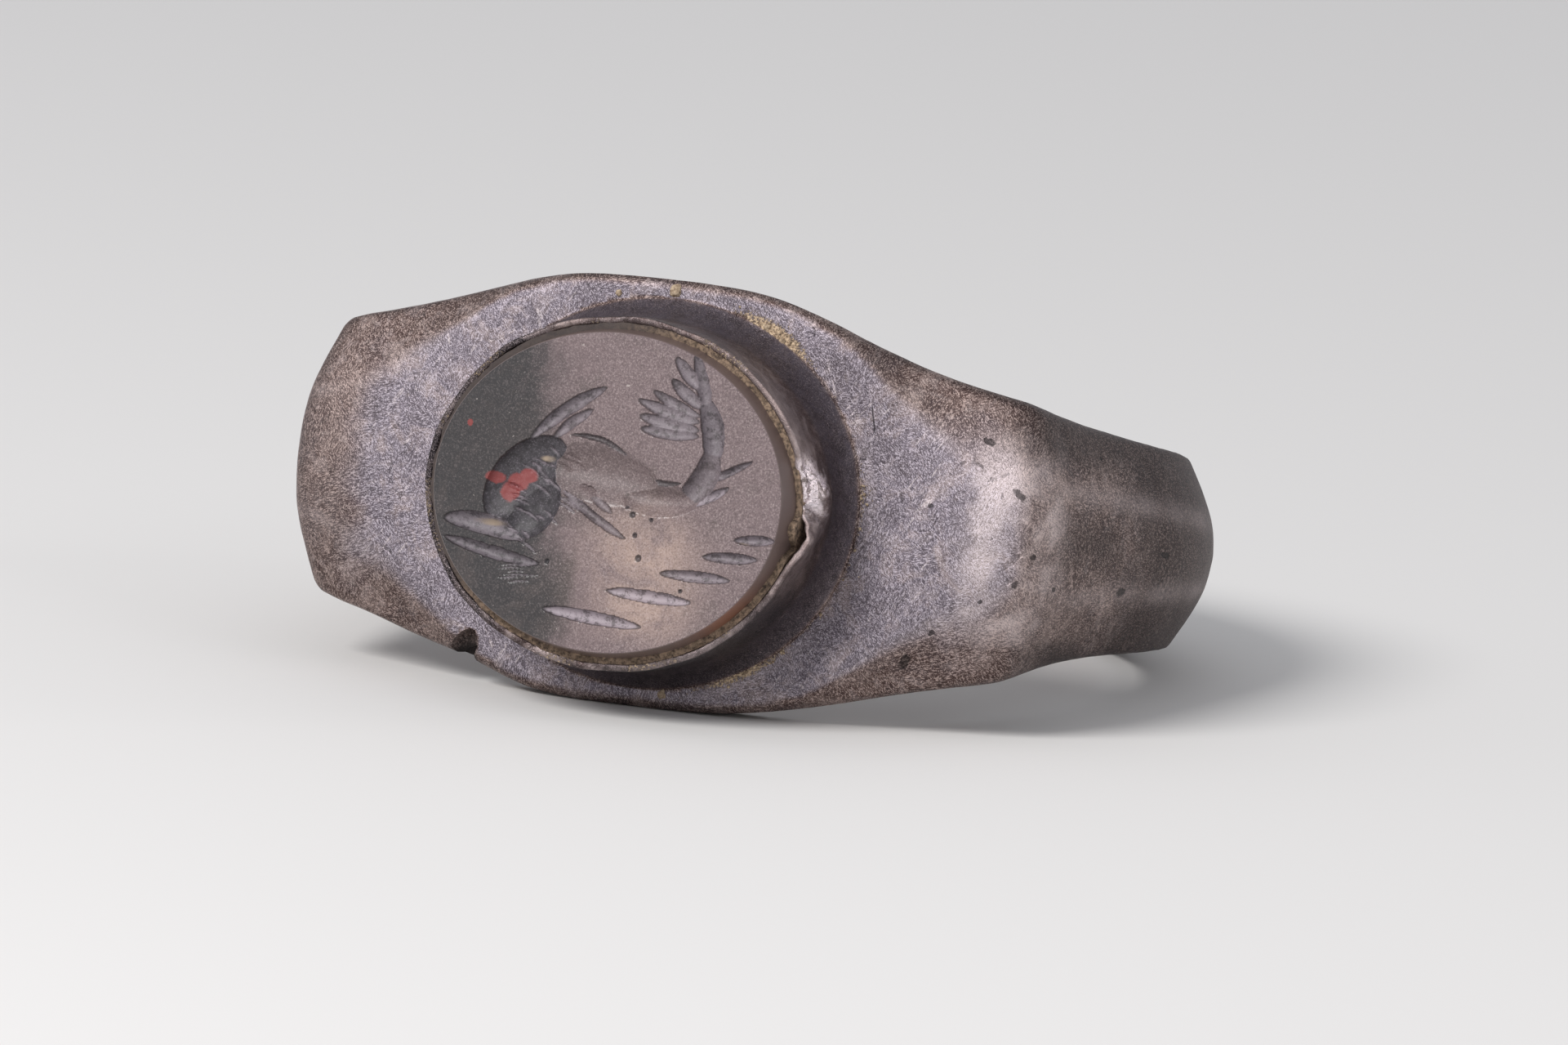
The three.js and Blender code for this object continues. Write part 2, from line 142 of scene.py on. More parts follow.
class RingStoneSettings(bpy.types.PropertyGroup):
    face_length: length("Face length", "Length of the stone's face along the bezel", 10.0)
    face_width: length("Face width", "Width of the stone's face across the bezel", 8.5)
    thickness: length("Thickness", "Thickness of the stone", 2.85)
    bevel_run: length("Bevel run", "Width of the bevel round the face", 0.14)
    bevel_drop: length("Bevel drop", "Height of the bevel", 0.6)
    taper: length("Taper", "How much narrower the hidden base is on each side", 0.35)
    standoff: length("Standoff", "How far the face stands above the collar's rim", 0.5)
    shift: length("Shift", "How far the stone sits below the bezel's middle line", 0.12)
    figure_turn: angle("Figure turn", "How far the figure is turned on the stone", 2)
    columns: count("Columns", "Columns of the stone's face mesh", 300)
    rows: count("Rows", "Rows of the stone's face mesh", 256)
    dark_zone: colour("Dark zone", "Cloudy grey of the stone's left third", srgb(50, 48, 49))
    pale_zone: colour("Pale zone", "Pinkish grey of the rest of the stone", srgb(118, 102, 103))
    light_band: colour("Light band", "Lighter beige band below the middle", srgb(186, 161, 148))
    bevel_glow: colour("Bevel glow", "Brown of the bevel, where light comes through", srgb(104, 88, 84))
    deep_cut: colour("Deep cut", "Dark blue-grey in the deep cuts", srgb(24, 23, 28))
    shallow_cut: colour("Shallow cut", "Pale blue-grey in the shallow cuts", srgb(172, 160, 168))
    red_mark: colour("Red mark", "Red patches on the head", srgb(158, 62, 58))


class RingPasteSettings(bpy.types.PropertyGroup):
    wall: length("Wall", "Thickness of the paste round the stone", 0.09)
    floor: length("Floor", "Thickness of the paste under the stone", 0.5)
    clearance: length("Clearance", "Gap on each side of the paste", 0.03)
    rim_wall: length("Rim wall", "Thickness of the collar's rim", 0.2)
    rim_rounding: length("Rim rounding", "Rounding of the collar's rim", 0.06)
    rim_lip: length("Rim lip", "How far the rim stands out over the hollow wall", 0.04)
    flare_along: length("Flare along", "How far the collar's foot spreads along the bezel", 0.4)
    flare_across: length("Flare across", "How far the collar's foot spreads across the bezel", 0.52)
    flare_power: amount("Flare power", "A higher power keeps the spread nearer to the foot", 7)
    paste: colour("Paste", "Beige setting paste", srgb(146, 124, 104))


class RingSoilSettings(bpy.types.PropertyGroup):
    crumbs: count("Crumbs", "Crumbs of soil along the collar's foot", 150)
    largest: length("Largest", "Radius of the largest crumb", 0.055)
    smallest: length("Smallest", "Radius of the smallest crumb", 0.014)
    pale_soil: colour("Pale soil", "Colour of dry soil", srgb(198, 178, 152))
    dark_soil: colour("Dark soil", "Colour of damp soil", srgb(126, 106, 86))


class RingStageSettings(bpy.types.PropertyGroup):
    floor_size: length("Floor size", "Side of the floor", 6000)
    floor_colour: colour("Floor", "Pale floor", srgb(226, 225, 223))
    azimuth: angle("Azimuth", "Camera's turn to the ring's right", 22.5)
    elevation: angle("Elevation", "Camera's height above the horizon", 9.7)
    roll: angle("Roll", "Camera's roll", 3.0)
    lens: amount("Lens", "Focal length in millimetres", 650)
    world_light: amount("World light", "Strength of the even light from all round", 0.52)
    key_power: amount("Key light", "Power of the large light above and in front", 1.05)
    edge_power: amount("Edge light", "Power of the small light from the right and behind", 0.11)
    fill_power: amount("Fill light", "Power of the small light from the right", 0.08)


SETTINGS = {
    "ring_band_settings": RingBandSettings,
    "ring_stone_settings": RingStoneSettings,
    "ring_paste_settings": RingPasteSettings,
    "ring_soil_settings": RingSoilSettings,
    "ring_stage_settings": RingStageSettings,
}

# Shape of the ring in its own frame: X along the bezel, Y along the finger, Z out of the bezel

OUTLINE_CRISPNESS = 45
HOLE_CRISPNESS = 12
BEZEL_FLAT_SHARE = 0.94
SHOULDER_FLAT_SHARE = 0.42
BACK_FLAT_SHARE = 0.34
FLANK_START = math.radians(27)
FLANK_END = math.radians(52)
SAG_ANGLE = math.radians(43)
SAG_SPREAD = math.radians(19)
DENT_SPREAD = math.radians(13)
CHIP_ANGLE = math.radians(-30)
CHIP_SPREAD = math.radians(7)
WEAR_ANGLE = math.radians(60)
WEAR_SPREAD = math.radians(17)
FLANK_SOFTNESS = 0.42
CHIP_DEPTH = 0.14 * MM
NOTCH_LEAN = math.radians(30)
RESTING_TRIM = 0.1 * MM


def lerp(start, end, part):
    return start + (end - start) * part


def smooth(value, low, high):
    part = min(max((value - low) / (high - low), 0), 1)
    return part * part * (3 - 2 * part)


def hump(value, middle, spread):
    return math.exp(-(((value - middle) / spread) ** 2))


def near_direction(around, degrees, spread):
    """1 in a direction from the middle of the collar, falling off over the spread, both in degrees."""
    return hump(around, math.radians(degrees), math.radians(spread))


def soft_least(radii, crispness):
    """The least of some radii, with the corners between them rounded."""
    least = min(radii)
    return least * sum((radius / least) ** -crispness for radius in radii) ** (-1 / crispness)


def to_line(distance, turn):
    """Radius at a turn to a straight line at a distance, or a very large one where they never meet."""
    cosine = math.cos(turn)
    return distance / cosine if cosine > 1e-3 else 1.0


class RingForm:
    """Radii, widths and heights of the ring, all worked out from the settings."""

    def __init__(self, scene):
        self.band = scene.ring_band_settings
        self.stone = scene.ring_stone_settings
        self.paste = scene.ring_paste_settings
        band, stone, paste = self.band, self.stone, self.paste
        self.crown_height = band.hole_radius - band.crown_flattening
        self.shoulder_height = self.crown_height + band.crown_wall
        self.paste_base = self.shoulder_height + paste.clearance
        self.stone_base = self.paste_base + paste.floor + paste.clearance
        self.stone_face = self.stone_base + stone.thickness
        self.rim_height = self.stone_face - stone.standoff
        self.face = Vector((stone.face_length / 2, stone.face_width / 2))
        self.girdle = self.grown(self.face, stone.bevel_run)
        self.paste_inside = self.grown(self.girdle, paste.clearance)
        self.paste_outside = self.grown(self.paste_inside, paste.wall)
        self.collar_inside = self.grown(self.paste_outside, paste.clearance)
        self.rim = self.grown(self.collar_inside, paste.rim_wall)
        self.foot = self.rim + Vector((paste.flare_along, paste.flare_across))
        self.hoop_radius = band.hole_radius + band.hoop_wall
        self.bezel_half_width = self.foot.y + band.ledge
        edge_height = self.crown_height + band.edge_rounding
        back_edge = self.hoop_radius - band.flank_drop - band.edge_rounding
        self.lean = math.atan2(self.bezel_half_width - band.back_half_width, edge_height + back_edge)
        rest = self.bezel_half_width * math.cos(self.lean) - edge_height * math.sin(self.lean) - RESTING_TRIM
        face_reach = (self.face.y + stone.shift) * math.sin(self.lean) + self.stone_face * math.cos(self.lean)
        place = Matrix.Translation((0, STONE_BOX[0][1] + face_reach, rest))
        self.laid_down = place @ Matrix.Rotation(math.pi / 2 - self.lean, 4, "X")

    @staticmethod
    def grown(oval, by):
        return oval + Vector((by, by))

    def hole_radius_at(self, turn):
        return soft_least([self.band.hole_radius, to_line(self.crown_height, turn)], HOLE_CRISPNESS)

    def outline_radius_at(self, turn):
        turn = abs(turn)
        fall = self.band.shoulder_fall
        side = math.pi / 2 - self.band.side_lean
        flat_end = self.foot.x + self.band.shoulder_flat
        slope = flat_end * math.sin(fall) + self.shoulder_height * math.cos(fall)
        lines = [
            to_line(self.shoulder_height, turn),
            to_line(slope, turn - fall),
            to_line(self.hoop_radius, turn - side) if turn < side else self.hoop_radius,
        ]
        return soft_least(lines, OUTLINE_CRISPNESS)

    def half_width_at(self, turn):
        band = self.band
        fall_angle, power = band.left_fall_angle, band.left_fall_power
        if turn >= 0:
            fall_angle, power = band.right_fall_angle, band.right_fall_power
        part = 1 / (1 + (abs(turn) / fall_angle) ** power)
        return lerp(band.back_half_width, self.bezel_half_width, part)

    def flat_share_at(self, turn):
        toward_back = smooth(abs(turn), math.pi / 3, math.pi / 1.5)
        hoop_share = lerp(SHOULDER_FLAT_SHARE, BACK_FLAT_SHARE, toward_back)
        return lerp(BEZEL_FLAT_SHARE, hoop_share, smooth(abs(turn), FLANK_START, FLANK_END))

    def sag_at(self, turn):
        return self.band.sag * hump(turn, SAG_ANGLE, SAG_SPREAD)

    def edge_at(self, turn, across):
        """Half of the width at a turn, and how far the rounded edge falls from the surface there."""
        chip = CHIP_DEPTH * hump(turn, CHIP_ANGLE, CHIP_SPREAD) if across < 0 else 0
        half = self.half_width_at(turn) - chip
        rounding = self.band.edge_rounding + self.band.edge_wear * hump(abs(turn), WEAR_ANGLE, WEAR_SPREAD)
        near_edge = min(max((abs(across) * half - half + rounding) / rounding, 0), 1)
        return half, rounding * (1 - math.sqrt(1 - near_edge ** 2))

    def on_hoop(self, radius, turn, sideways):
        return (radius * math.sin(turn), sideways - self.sag_at(turn), radius * math.cos(turn))

    def outside(self, turn, across):
        """A point of the hoop's outside. Across runs from -1 to 1 over the whole width."""
        half, rounded = self.edge_at(turn, across)
        flat = self.flat_share_at(turn)
        drop = self.band.flank_drop * smooth(abs(turn), FLANK_START / 2, FLANK_END)
        beyond = (abs(across) - flat) / (1 - flat)
        softness = FLANK_SOFTNESS * smooth(abs(turn), 0, FLANK_START)
        ramp = (beyond + math.hypot(beyond, softness)) / 2 if beyond > -1 else 0
        return self.on_hoop(self.outline_radius_at(turn) - drop * ramp - rounded, turn, half * across)

    def inside(self, turn, across):
        """A point of the finger hole's wall, rounded at its ends."""
        half, rounded = self.edge_at(turn, across)
        return self.on_hoop(self.hole_radius_at(turn) + rounded, turn, half * across)

    def on_oval(self, oval, turn, height, shift=1.0):
        return Vector((oval.x * math.sin(turn), -oval.y * math.cos(turn) - self.stone.shift * shift, height))

    def dented(self, point):
        """Moves a point of the collar: dented and crumpled at the right, and slightly uneven all round."""
        around = math.atan2(point.y, point.x)
        upward = smooth(point.z, lerp(self.shoulder_height, self.rim_height, 0.45), self.rim_height)
        part = upward * hump(around, self.band.dent_angle, DENT_SPREAD)
        crumple = 0.2 * MM * noise_at(point, 1.6, 5.0) + 0.13 * MM * noise_at(point, 4.5, 5.0)
        spread = self.band.dent_outward * near_direction(around, -8, 7)
        pressed = -0.14 * MM * near_direction(around, 4, 6)
        height = (point.z - self.shoulder_height) / (self.rim_height - self.shoulder_height)
        bulge = 0.3 * MM * near_direction(around, 3, 8) * hump(height, 0.6, 0.2)
        uneven = 0.05 * MM * noise_at((point.x, point.y, 0), 0.9, 12.0) * upward
        moved = upward * (spread + pressed) + bulge + crumple * part + uneven
        outward = 1 + moved / math.hypot(point.x, point.y)
        return Vector((point.x * outward, point.y * outward, point.z - self.band.dent_drop * part + uneven))

    def foot_distance(self, point):
        """How far a point lies outside the collar's foot, roughly, measured along the bezel's face."""
        share = math.hypot(point.x / self.foot.x, point.y / self.foot.y)
        return (share - 1) * (self.foot.x + self.foot.y) / 2


# Mesh helpers


def ring_tube(sections, points):
    """A plain tube ring: a circle of points spun round the Y axis, to be reshaped."""
    tube = bmesh.new()
    circle = bmesh.ops.create_circle(tube, cap_ends=False, segments=points, radius=0.5)["verts"]
    bmesh.ops.rotate(tube, verts=circle, matrix=Matrix.Rotation(math.pi / 2, 3, "Y"))
    bmesh.ops.translate(tube, verts=circle, vec=(0, 0, 1))
    bmesh.ops.spin(
        tube, geom=tube.edges[:] + tube.verts[:], cent=(0, 0, 0), axis=(0, 1, 0), angle=math.tau,
        steps=sections, use_merge=True)
    return tube


def reshaped(tube, place):
    """Moves each point of a plain tube ring to where place(part of the section, turn) says."""
    for vert in tube.verts:
        turn = math.atan2(vert.co.x, vert.co.z)
        lift = math.hypot(vert.co.x, vert.co.z) - 1
        part = math.atan2(lift, vert.co.y) / math.tau % 1
        vert.co = place(part, turn)
    bmesh.ops.recalc_face_normals(tube, faces=tube.faces)
    tube.normal_update()
    return tube


def mesh_object(name, mesh_data, crease=None):
    """Puts a finished bmesh in the scene as an object at the origin, smooth but for its sharp edges."""
    mesh = bpy.data.meshes.new(name)
    for face in mesh_data.faces:
        face.smooth = True
    if crease is not None:
        for edge in mesh_data.edges:
            if len(edge.link_faces) == 2:
                edge.smooth = edge.calc_face_angle() < crease
    mesh_data.to_mesh(mesh)
    mesh_data.free()
    piece = bpy.data.objects.new(name, mesh)
    bpy.context.scene.collection.objects.link(piece)
    return piece


def cut_or_joined(piece, tool, operation):
    """Applies a boolean of one object on another, and removes the tool and the mesh from before."""
    change = piece.modifiers.new(operation, "BOOLEAN")
    change.operation = operation
    change.solver = "MANIFOLD"
    change.object = tool
    bpy.context.view_layer.update()
    finished = bpy.data.meshes.new_from_object(piece.evaluated_get(bpy.context.evaluated_depsgraph_get()))
    piece.modifiers.remove(change)
    bpy.data.meshes.remove(tool.data)
    before = piece.data
    piece.data = finished
    bpy.data.meshes.remove(before)


def write_masks(piece, masks):
    for name, values in masks.items():
        mask = piece.data.attributes.new(name, "FLOAT", "POINT")
        mask.data.foreach_set("value", values)


def noise_at(point, per_millimetre, seed=0.0):
    """Smooth noise from about -1 to 1, with so many waves to the millimetre."""
    return noise.noise(Vector(point) * (per_millimetre / MM) + Vector((seed, seed * 0.7, -seed)))


# Node helpers


class Nodes:
    """One node tree with a short way to add each kind of node. Its place says where textures lie."""

    def __init__(self, tree, place):
        self.tree = tree
        self.place = place

    def fill(self, inputs, values):
        """Links or sets inputs of a node."""
        for key, value in values.items():
            if isinstance(value, bpy.types.NodeSocket):
                self.tree.links.new(value, inputs[key])
            else:
                inputs[key].default_value = value

    def add(self, kind, output, values, **choices):
        """Adds a node and gives the output that is named, by its label or its number."""
        node = self.tree.nodes.new(kind)
        for key, value in choices.items():
            setattr(node, key, value)
        self.fill(node.inputs, values)
        return node.outputs[output]

    def calculate(self, operation, first, second, clamp=False):
        return self.add("ShaderNodeMath", 0, {0: first, 1: second}, operation=operation, use_clamp=clamp)

    def times(self, first, second):
        return self.calculate("MULTIPLY", first, second)

    def plus(self, first, second):
        return self.calculate("ADD", first, second)

    def minus(self, first, second, clamp=False):
        return self.calculate("SUBTRACT", first, second, clamp)

    def most(self, first, second):
        return self.calculate("MAXIMUM", first, second)

    def vector(self, operation, first, second):
        return self.add("ShaderNodeVectorMath", 0, {0: first, 1: second}, operation=operation)

    def mapped(self, value, low, high, first=0.0, second=1.0, way="LINEAR"):
        values = {0: value, 1: low, 2: high, 3: first, 4: second}
        return self.add("ShaderNodeMapRange", 0, values, interpolation_type=way)

    def stepped(self, value, low, high):
        """Rises smoothly from 0 to 1 as the value goes from low to high."""
        return self.mapped(value, low, high, way="SMOOTHSTEP")

    def between(self, factor, first, second):
        return self.mapped(factor, 0.0, 1.0, first, second)

    def mixed(self, factor, first, second):
        return self.add("ShaderNodeMix", 0, {0: factor, 2: first, 3: second}, data_type="FLOAT")

    def tinted(self, body, tint, cover, strength=None):
        """The body's colour with a tint over it, as far as the cover times the strength says."""
        def full(value):
            return value if isinstance(value, bpy.types.NodeSocket) else (*value, 1)
        factor = cover if strength is None else self.times(cover, strength)
        return self.add("ShaderNodeMix", 2, {0: factor, 6: full(body), 7: full(tint)}, data_type="RGBA")

    def clouded(self, body, layers):
        """Lays tints over the body, each where a noise passes from its low to its high value."""
        for cloud, low, high, strength, tint in layers:
            body = self.tinted(body, srgb(*tint), self.stepped(cloud, low, high), strength)
        return body

    def mask(self, name):
        return self.add("ShaderNodeAttribute", "Fac", {}, attribute_name=name)

    def speckle(self, per_millimetre, detail, roughness, distortion=0.0):
        values = {"Vector": self.place, "Scale": per_millimetre / MM, "Detail": detail,
                  "Roughness": roughness, "Distortion": distortion}
        return self.add("ShaderNodeTexNoise", "Fac", values)

    def scratches(self, degrees, per_millimetre, length_share):
        """Scratches in one direction. Their length is a multiple of their width."""
        group = mask_group("Short scratches", SCRATCH_INPUTS, scratch_mask)
        values = {"Vector": self.place, "Angle": math.radians(degrees), "Per millimetre": per_millimetre,
                  "Length": length_share}
        return self.add("ShaderNodeGroup", "Mask", values, node_tree=group)

    def crossing_scratches(self, selector, runs):
        """Scratches in one of three directions, chosen from place to place by the selector."""
        first, second, third = [self.scratches(*run) for run in runs]
        lower = self.mixed(self.stepped(selector, 0.38, 0.50), first, second)
        return self.mixed(self.stepped(selector, 0.50, 0.62), lower, third)

    def oval_mark(self, spot, turn, size, raggedness):
        group = mask_group("Oval mark", OVAL_INPUTS, oval_mask)
        values = {"Vector": self.place, "Place": spot, "Turn": turn, "Size": size, "Raggedness": raggedness}
        return self.add("ShaderNodeGroup", "Mask", values, node_tree=group)


def mask_group(name, inputs, work_out):
    """A node group with one output, the mask that work_out(nodes, given) gives. It is made only once."""
    if name not in bpy.data.node_groups:
        tree = bpy.data.node_groups.new(name, "ShaderNodeTree")
        for label, value in inputs.items():
            kind = "NodeSocketVector" if value is None else "NodeSocketFloat"
            socket = tree.interface.new_socket(label, in_out="INPUT", socket_type=kind)
            if value is not None:
                socket.default_value = value
        tree.interface.new_socket("Mask", in_out="OUTPUT", socket_type="NodeSocketFloat")
        given = tree.nodes.new("NodeGroupInput").outputs
        result = tree.nodes.new("NodeGroupOutput").inputs["Mask"]
        tree.links.new(work_out(Nodes(tree, given["Vector"]), given), result)
    return bpy.data.node_groups[name]


# Inputs of the node groups. Those without a value are vectors.
SCRATCH_INPUTS = {"Vector": None, "Angle": 0.0, "Per millimetre": 14.0, "Length": 7.0}
OVAL_INPUTS = {"Vector": None, "Place": None, "Turn": None, "Size": None, "Raggedness": 0.3}
BEZEL_AXIS = (0, -0.984, 0.181)


def scratch_mask(nodes, given):
    """Short fine scratches that run one way, as an old polish leaves them."""
    turn = {"Vector": nodes.place, "Axis": BEZEL_AXIS, "Angle": given["Angle"]}
    turned = nodes.add("ShaderNodeVectorRotate", 0, turn, rotation_type="AXIS_ANGLE")
    fine = nodes.times(given["Per millimetre"], 1 / MM)
    coarse = nodes.calculate("DIVIDE", fine, given["Length"])
    stretch = nodes.add("ShaderNodeCombineXYZ", 0, {0: fine, 1: coarse, 2: coarse})
    stretched = nodes.vector("MULTIPLY", turned, stretch)
    values = {"Vector": stretched, "Scale": 1.0, "Detail": 2.0, "Roughness": 0.6, "Distortion": 0.5}
    return nodes.add("ShaderNodeTexNoise", "Fac", values)


def oval_mask(nodes, given):
    """A small oval mark at a place on the surface, with a ragged edge."""
    away = nodes.vector("SUBTRACT", nodes.place, given["Place"])
    turn = {"Vector": away, "Rotation": given["Turn"]}
    turned = nodes.add("ShaderNodeVectorRotate", 0, turn, rotation_type="EULER_XYZ")
    scaled = nodes.vector("DIVIDE", turned, given["Size"])
    reach = nodes.add("ShaderNodeVectorMath", "Value", {0: scaled}, operation="LENGTH")
    ragged = nodes.times(nodes.minus(nodes.speckle(9, 3.0, 0.6), 0.5), given["Raggedness"])
    return nodes.mapped(nodes.plus(reach, nodes.times(ragged, 2.0)), 1.1, 0.8)


def new_material(name):
    """A material with its nodes and its shader's inputs, textured by the object's own shape."""
    material = bpy.data.materials.new(name)
    material.use_nodes = True
    tree = material.node_tree
    place = tree.nodes.new("ShaderNodeTexCoord").outputs["Object"]
    return material, Nodes(tree, place), tree.nodes["Principled BSDF"].inputs


# Materials

# Runs of scratches: direction in degrees, how many to the millimetre, length as a multiple of the width
GRAIN_RUNS = ((12, 34, 3.4), (-38, 36, 3), (74, 32, 3.4))
DASH_RUNS = ((58, 7, 7), (34, 6, 8), (-22, 7, 7))
BAND_MASKS = ("bezel", "collar", "worn", "dark", "soil", "notch_darkening", "smooth", "dent", "foot")
METAL_BUMP = 0.035 * MM
STONE_BUMP = 0.02 * MM
CRUMB_BUMP = 0.03 * MM


def silver_material(form):
    """Old silver: bluish flats, brownish hoop, a black collar that is partly tarnish and partly painted dark
    reflection, worn edges, painted highlights and shade, and dirt in the corners.
    """
    band = form.band
    material, nodes, shader = new_material("Old silver")
    bezel, collar, worn, dark, soil, notch_darkening, plain, dent, foot = [nodes.mask(name) for name in BAND_MASKS]
    fine = nodes.speckle(30, 3.0, 0.8)
    grain = nodes.crossing_scratches(nodes.speckle(0.55, 2.0, 0.6, 0.4), GRAIN_RUNS)
    mixed = nodes.mixed(0.5, grain, fine)
    light_grain = nodes.stepped(mixed, 0.50, 0.57)
    dark_grain = nodes.stepped(mixed, 0.49, 0.41)
    dings = nodes.speckle(1.9, 3.0, 0.7, 0.5)
    clouds = nodes.speckle(0.8, 5.0, 0.68, 0.7)
    stains = nodes.speckle(3.0, 5.0, 0.72, 0.4)
    patches = nodes.speckle(1.7, 3.0, 0.6, 0.9)
    folds = nodes.speckle(2.6, 3.0, 0.6, 1.5)
    crumbs = nodes.speckle(13, 4.0, 0.8)

    body = nodes.tinted(band.flank_silver, band.flat_silver, bezel)
    body = nodes.clouded(body, (
        (clouds, 0.48, 0.66, 0.4, (84, 76, 80)),
        (clouds, 0.50, 0.34, 0.4, (172, 154, 148)),
        (patches, 0.52, 0.66, 0.22, (78, 68, 68)),
        (patches, 0.47, 0.34, 0.22, (190, 176, 174)),
        (stains, 0.54, 0.72, 0.35, (78, 66, 64)),
    ))
    # Painted shade over the far right and the right flanks, a painted shadow along the lower edge, and a
    # darker patch above the collar's right
    body = nodes.tinted(body, srgb(40, 28, 27), dark, 0.9)
    # Polished metal, and painted highlights on the shoulders' corners, the crests and the dent
    body = nodes.tinted(body, band.wear_and_highlight_silver, worn, 0.75)

    # Fine strokes, longer dashes and the hollows between them
    rough_part = nodes.minus(1.0, plain)
    strokes = nodes.times(light_grain, nodes.times(nodes.mixed(dark, 0.5, 0.2), rough_part))
    body = nodes.tinted(body, nodes.tinted(srgb(222, 200, 192), srgb(228, 218, 228), bezel), strokes)
    brushed = nodes.most(nodes.times(bezel, rough_part), nodes.times(collar, 0.3))
    dashes = nodes.times(nodes.stepped(nodes.crossing_scratches(clouds, DASH_RUNS), 0.62, 0.69), brushed)
    body = nodes.tinted(body, srgb(226, 214, 214), dashes, 0.4)
    body = nodes.tinted(body, srgb(42, 34, 35), nodes.times(dark_grain, nodes.times(rough_part, 0.5)))

    # Painted highlights and painted shade on the dent's folds, and the small dings
    dent_highlight = nodes.times(dent, nodes.stepped(folds, 0.36, 0.56))
    dent_highlight = nodes.times(dent_highlight, nodes.minus(1.0, dark_grain, clamp=True))
    body = nodes.tinted(body, srgb(255, 242, 246), dent_highlight)
    body = nodes.tinted(body, srgb(70, 58, 56), nodes.times(dent, nodes.stepped(folds, 0.44, 0.36)), 0.6)
    body = nodes.tinted(body, srgb(52, 44, 44), nodes.stepped(dings, 0.67, 0.74), 0.5)

    # The collar: black that is partly tarnish and partly painted dark reflection, a smooth band at its foot
    # and faint bright specks
    dark_collar_cover = nodes.stepped(nodes.plus(collar, nodes.times(stains, 0.6)), 0.62, 1.1)
    body = nodes.tinted(body, band.tarnish_and_dark_reflection, nodes.minus(dark_collar_cover, worn, clamp=True))
    foot = nodes.times(foot, nodes.between(nodes.stepped(stains, 0.4, 0.62), 0.9, 0.45))
    body = nodes.tinted(body, band.foot_silver, foot)
    sparks = nodes.times(nodes.stepped(fine, 0.57, 0.66), collar)
    body = nodes.tinted(body, srgb(190, 176, 178), sparks, 0.75)
    body = nodes.tinted(body, srgb(150, 136, 138), nodes.times(light_grain, collar), 0.45)

    # Dirt in the corners, pits and the darkened middle of the notch
    dirty = nodes.stepped(nodes.plus(soil, nodes.times(crumbs, 1.5)), 1.22, 1.5)
    dirty = nodes.times(dirty, nodes.stepped(soil, 0.02, 0.2))
    earth = nodes.tinted(srgb(110, 88, 68), band.dirt, nodes.stepped(crumbs, 0.35, 0.65))
    body = nodes.tinted(body, earth, dirty)
    pits = nodes.most(nodes.times(pit_marks(nodes, form), 0.8), notch_darkening)
    body = nodes.tinted(body, srgb(20, 17, 18), pits, 0.94)

    matt = nodes.most(dirty, notch_darkening)
    rough = nodes.plus(nodes.times(mixed, 0.35), 0.32)
    rough = nodes.mixed(collar, rough, 0.3)
    rough = nodes.mixed(dent, rough, 0.22)
    height = nodes.plus(nodes.times(mixed, 0.7), nodes.times(stains, 0.6))
    height = nodes.plus(height, nodes.times(dirty, 0.8))
    height = nodes.minus(height, nodes.times(pits, 1.2))
    height = nodes.minus(height, nodes.stepped(dings, 0.62, 0.74))
    bump = {"Strength": 0.7, "Distance": METAL_BUMP, "Height": height}
    nodes.fill(shader, {
        "Base Color": body,
        "Metallic": nodes.between(matt, 0.75, 0.0),
        "Roughness": nodes.mixed(matt, rough, 0.9),
        "Normal": nodes.add("ShaderNodeBump", 0, bump),
    })
    return material


# Marks on the bezel's flat: place along and across the bezel, turn in degrees, length and width. All
# lengths here are in millimetres.
PITS = (
    (7.53, -3.65, 62, 0.26, 0.13),
    (8.24, -2.81, 40, 0.10, 0.07),
    (5.98, 2.62, -76, 0.38, 0.022),
    (7.86, 0.55, 10, 0.09, 0.05),
)
# Pits in the right-hand side of the hoop: turn from the bezel in degrees, share of the half width, tilt
# in degrees, length and width.
HOOP_PITS = (
    (47.25, 0.66, -20, 0.17, 0.08),
    (50.25, 0.34, -38, 0.22, 0.09),
    (52.25, -0.08, 20, 0.09, 0.07),
    (56.75, -0.32, 10, 0.11, 0.08),
    (50.75, -0.28, 70, 0.12, 0.08),
    (74.0, -0.38, 40, 0.24, 0.09),
    (84.25, -0.02, 0, 0.26, 0.08),
    (47.75, -0.4, 50, 0.08, 0.06),
    (67.75, 0.74, 10, 0.1, 0.05),
)
PIT_DEPTH = 0.8 * MM
SCRATCH_WIDTH = 0.04 * MM


def pit_places(form):
    """Where each pit lies on the metal, with its turn and its size."""
    for along_bezel, across, turn, long_size, short_size in PITS:
        spot = Vector((along_bezel * MM, across * MM, form.shoulder_height - 0.1 * MM))
        yield spot, turn, (long_size * MM, short_size * MM, PIT_DEPTH)
    for around, across, turn, long_size, short_size in HOOP_PITS:
        spot = Vector(form.outside(math.radians(around), across))
        yield spot, turn, (long_size * MM, short_size * MM, long_size * MM)


def pit_marks(nodes, form):
    """All the small pits in the metal. A mark as thin as a scratch has an even edge."""
    joined = 0.0
    upright = form.laid_down.to_3x3().inverted()
    for spot, turn, size in pit_places(form):
        rotation = (Matrix.Rotation(math.radians(-turn), 3, "Z") @ upright).to_euler("XYZ")
        raggedness = 0.75 if size[1] > SCRATCH_WIDTH else 0.05
        pit = nodes.oval_mark(form.laid_down @ spot, tuple(rotation), size, raggedness)
        joined = nodes.most(pit, joined)
    return joined


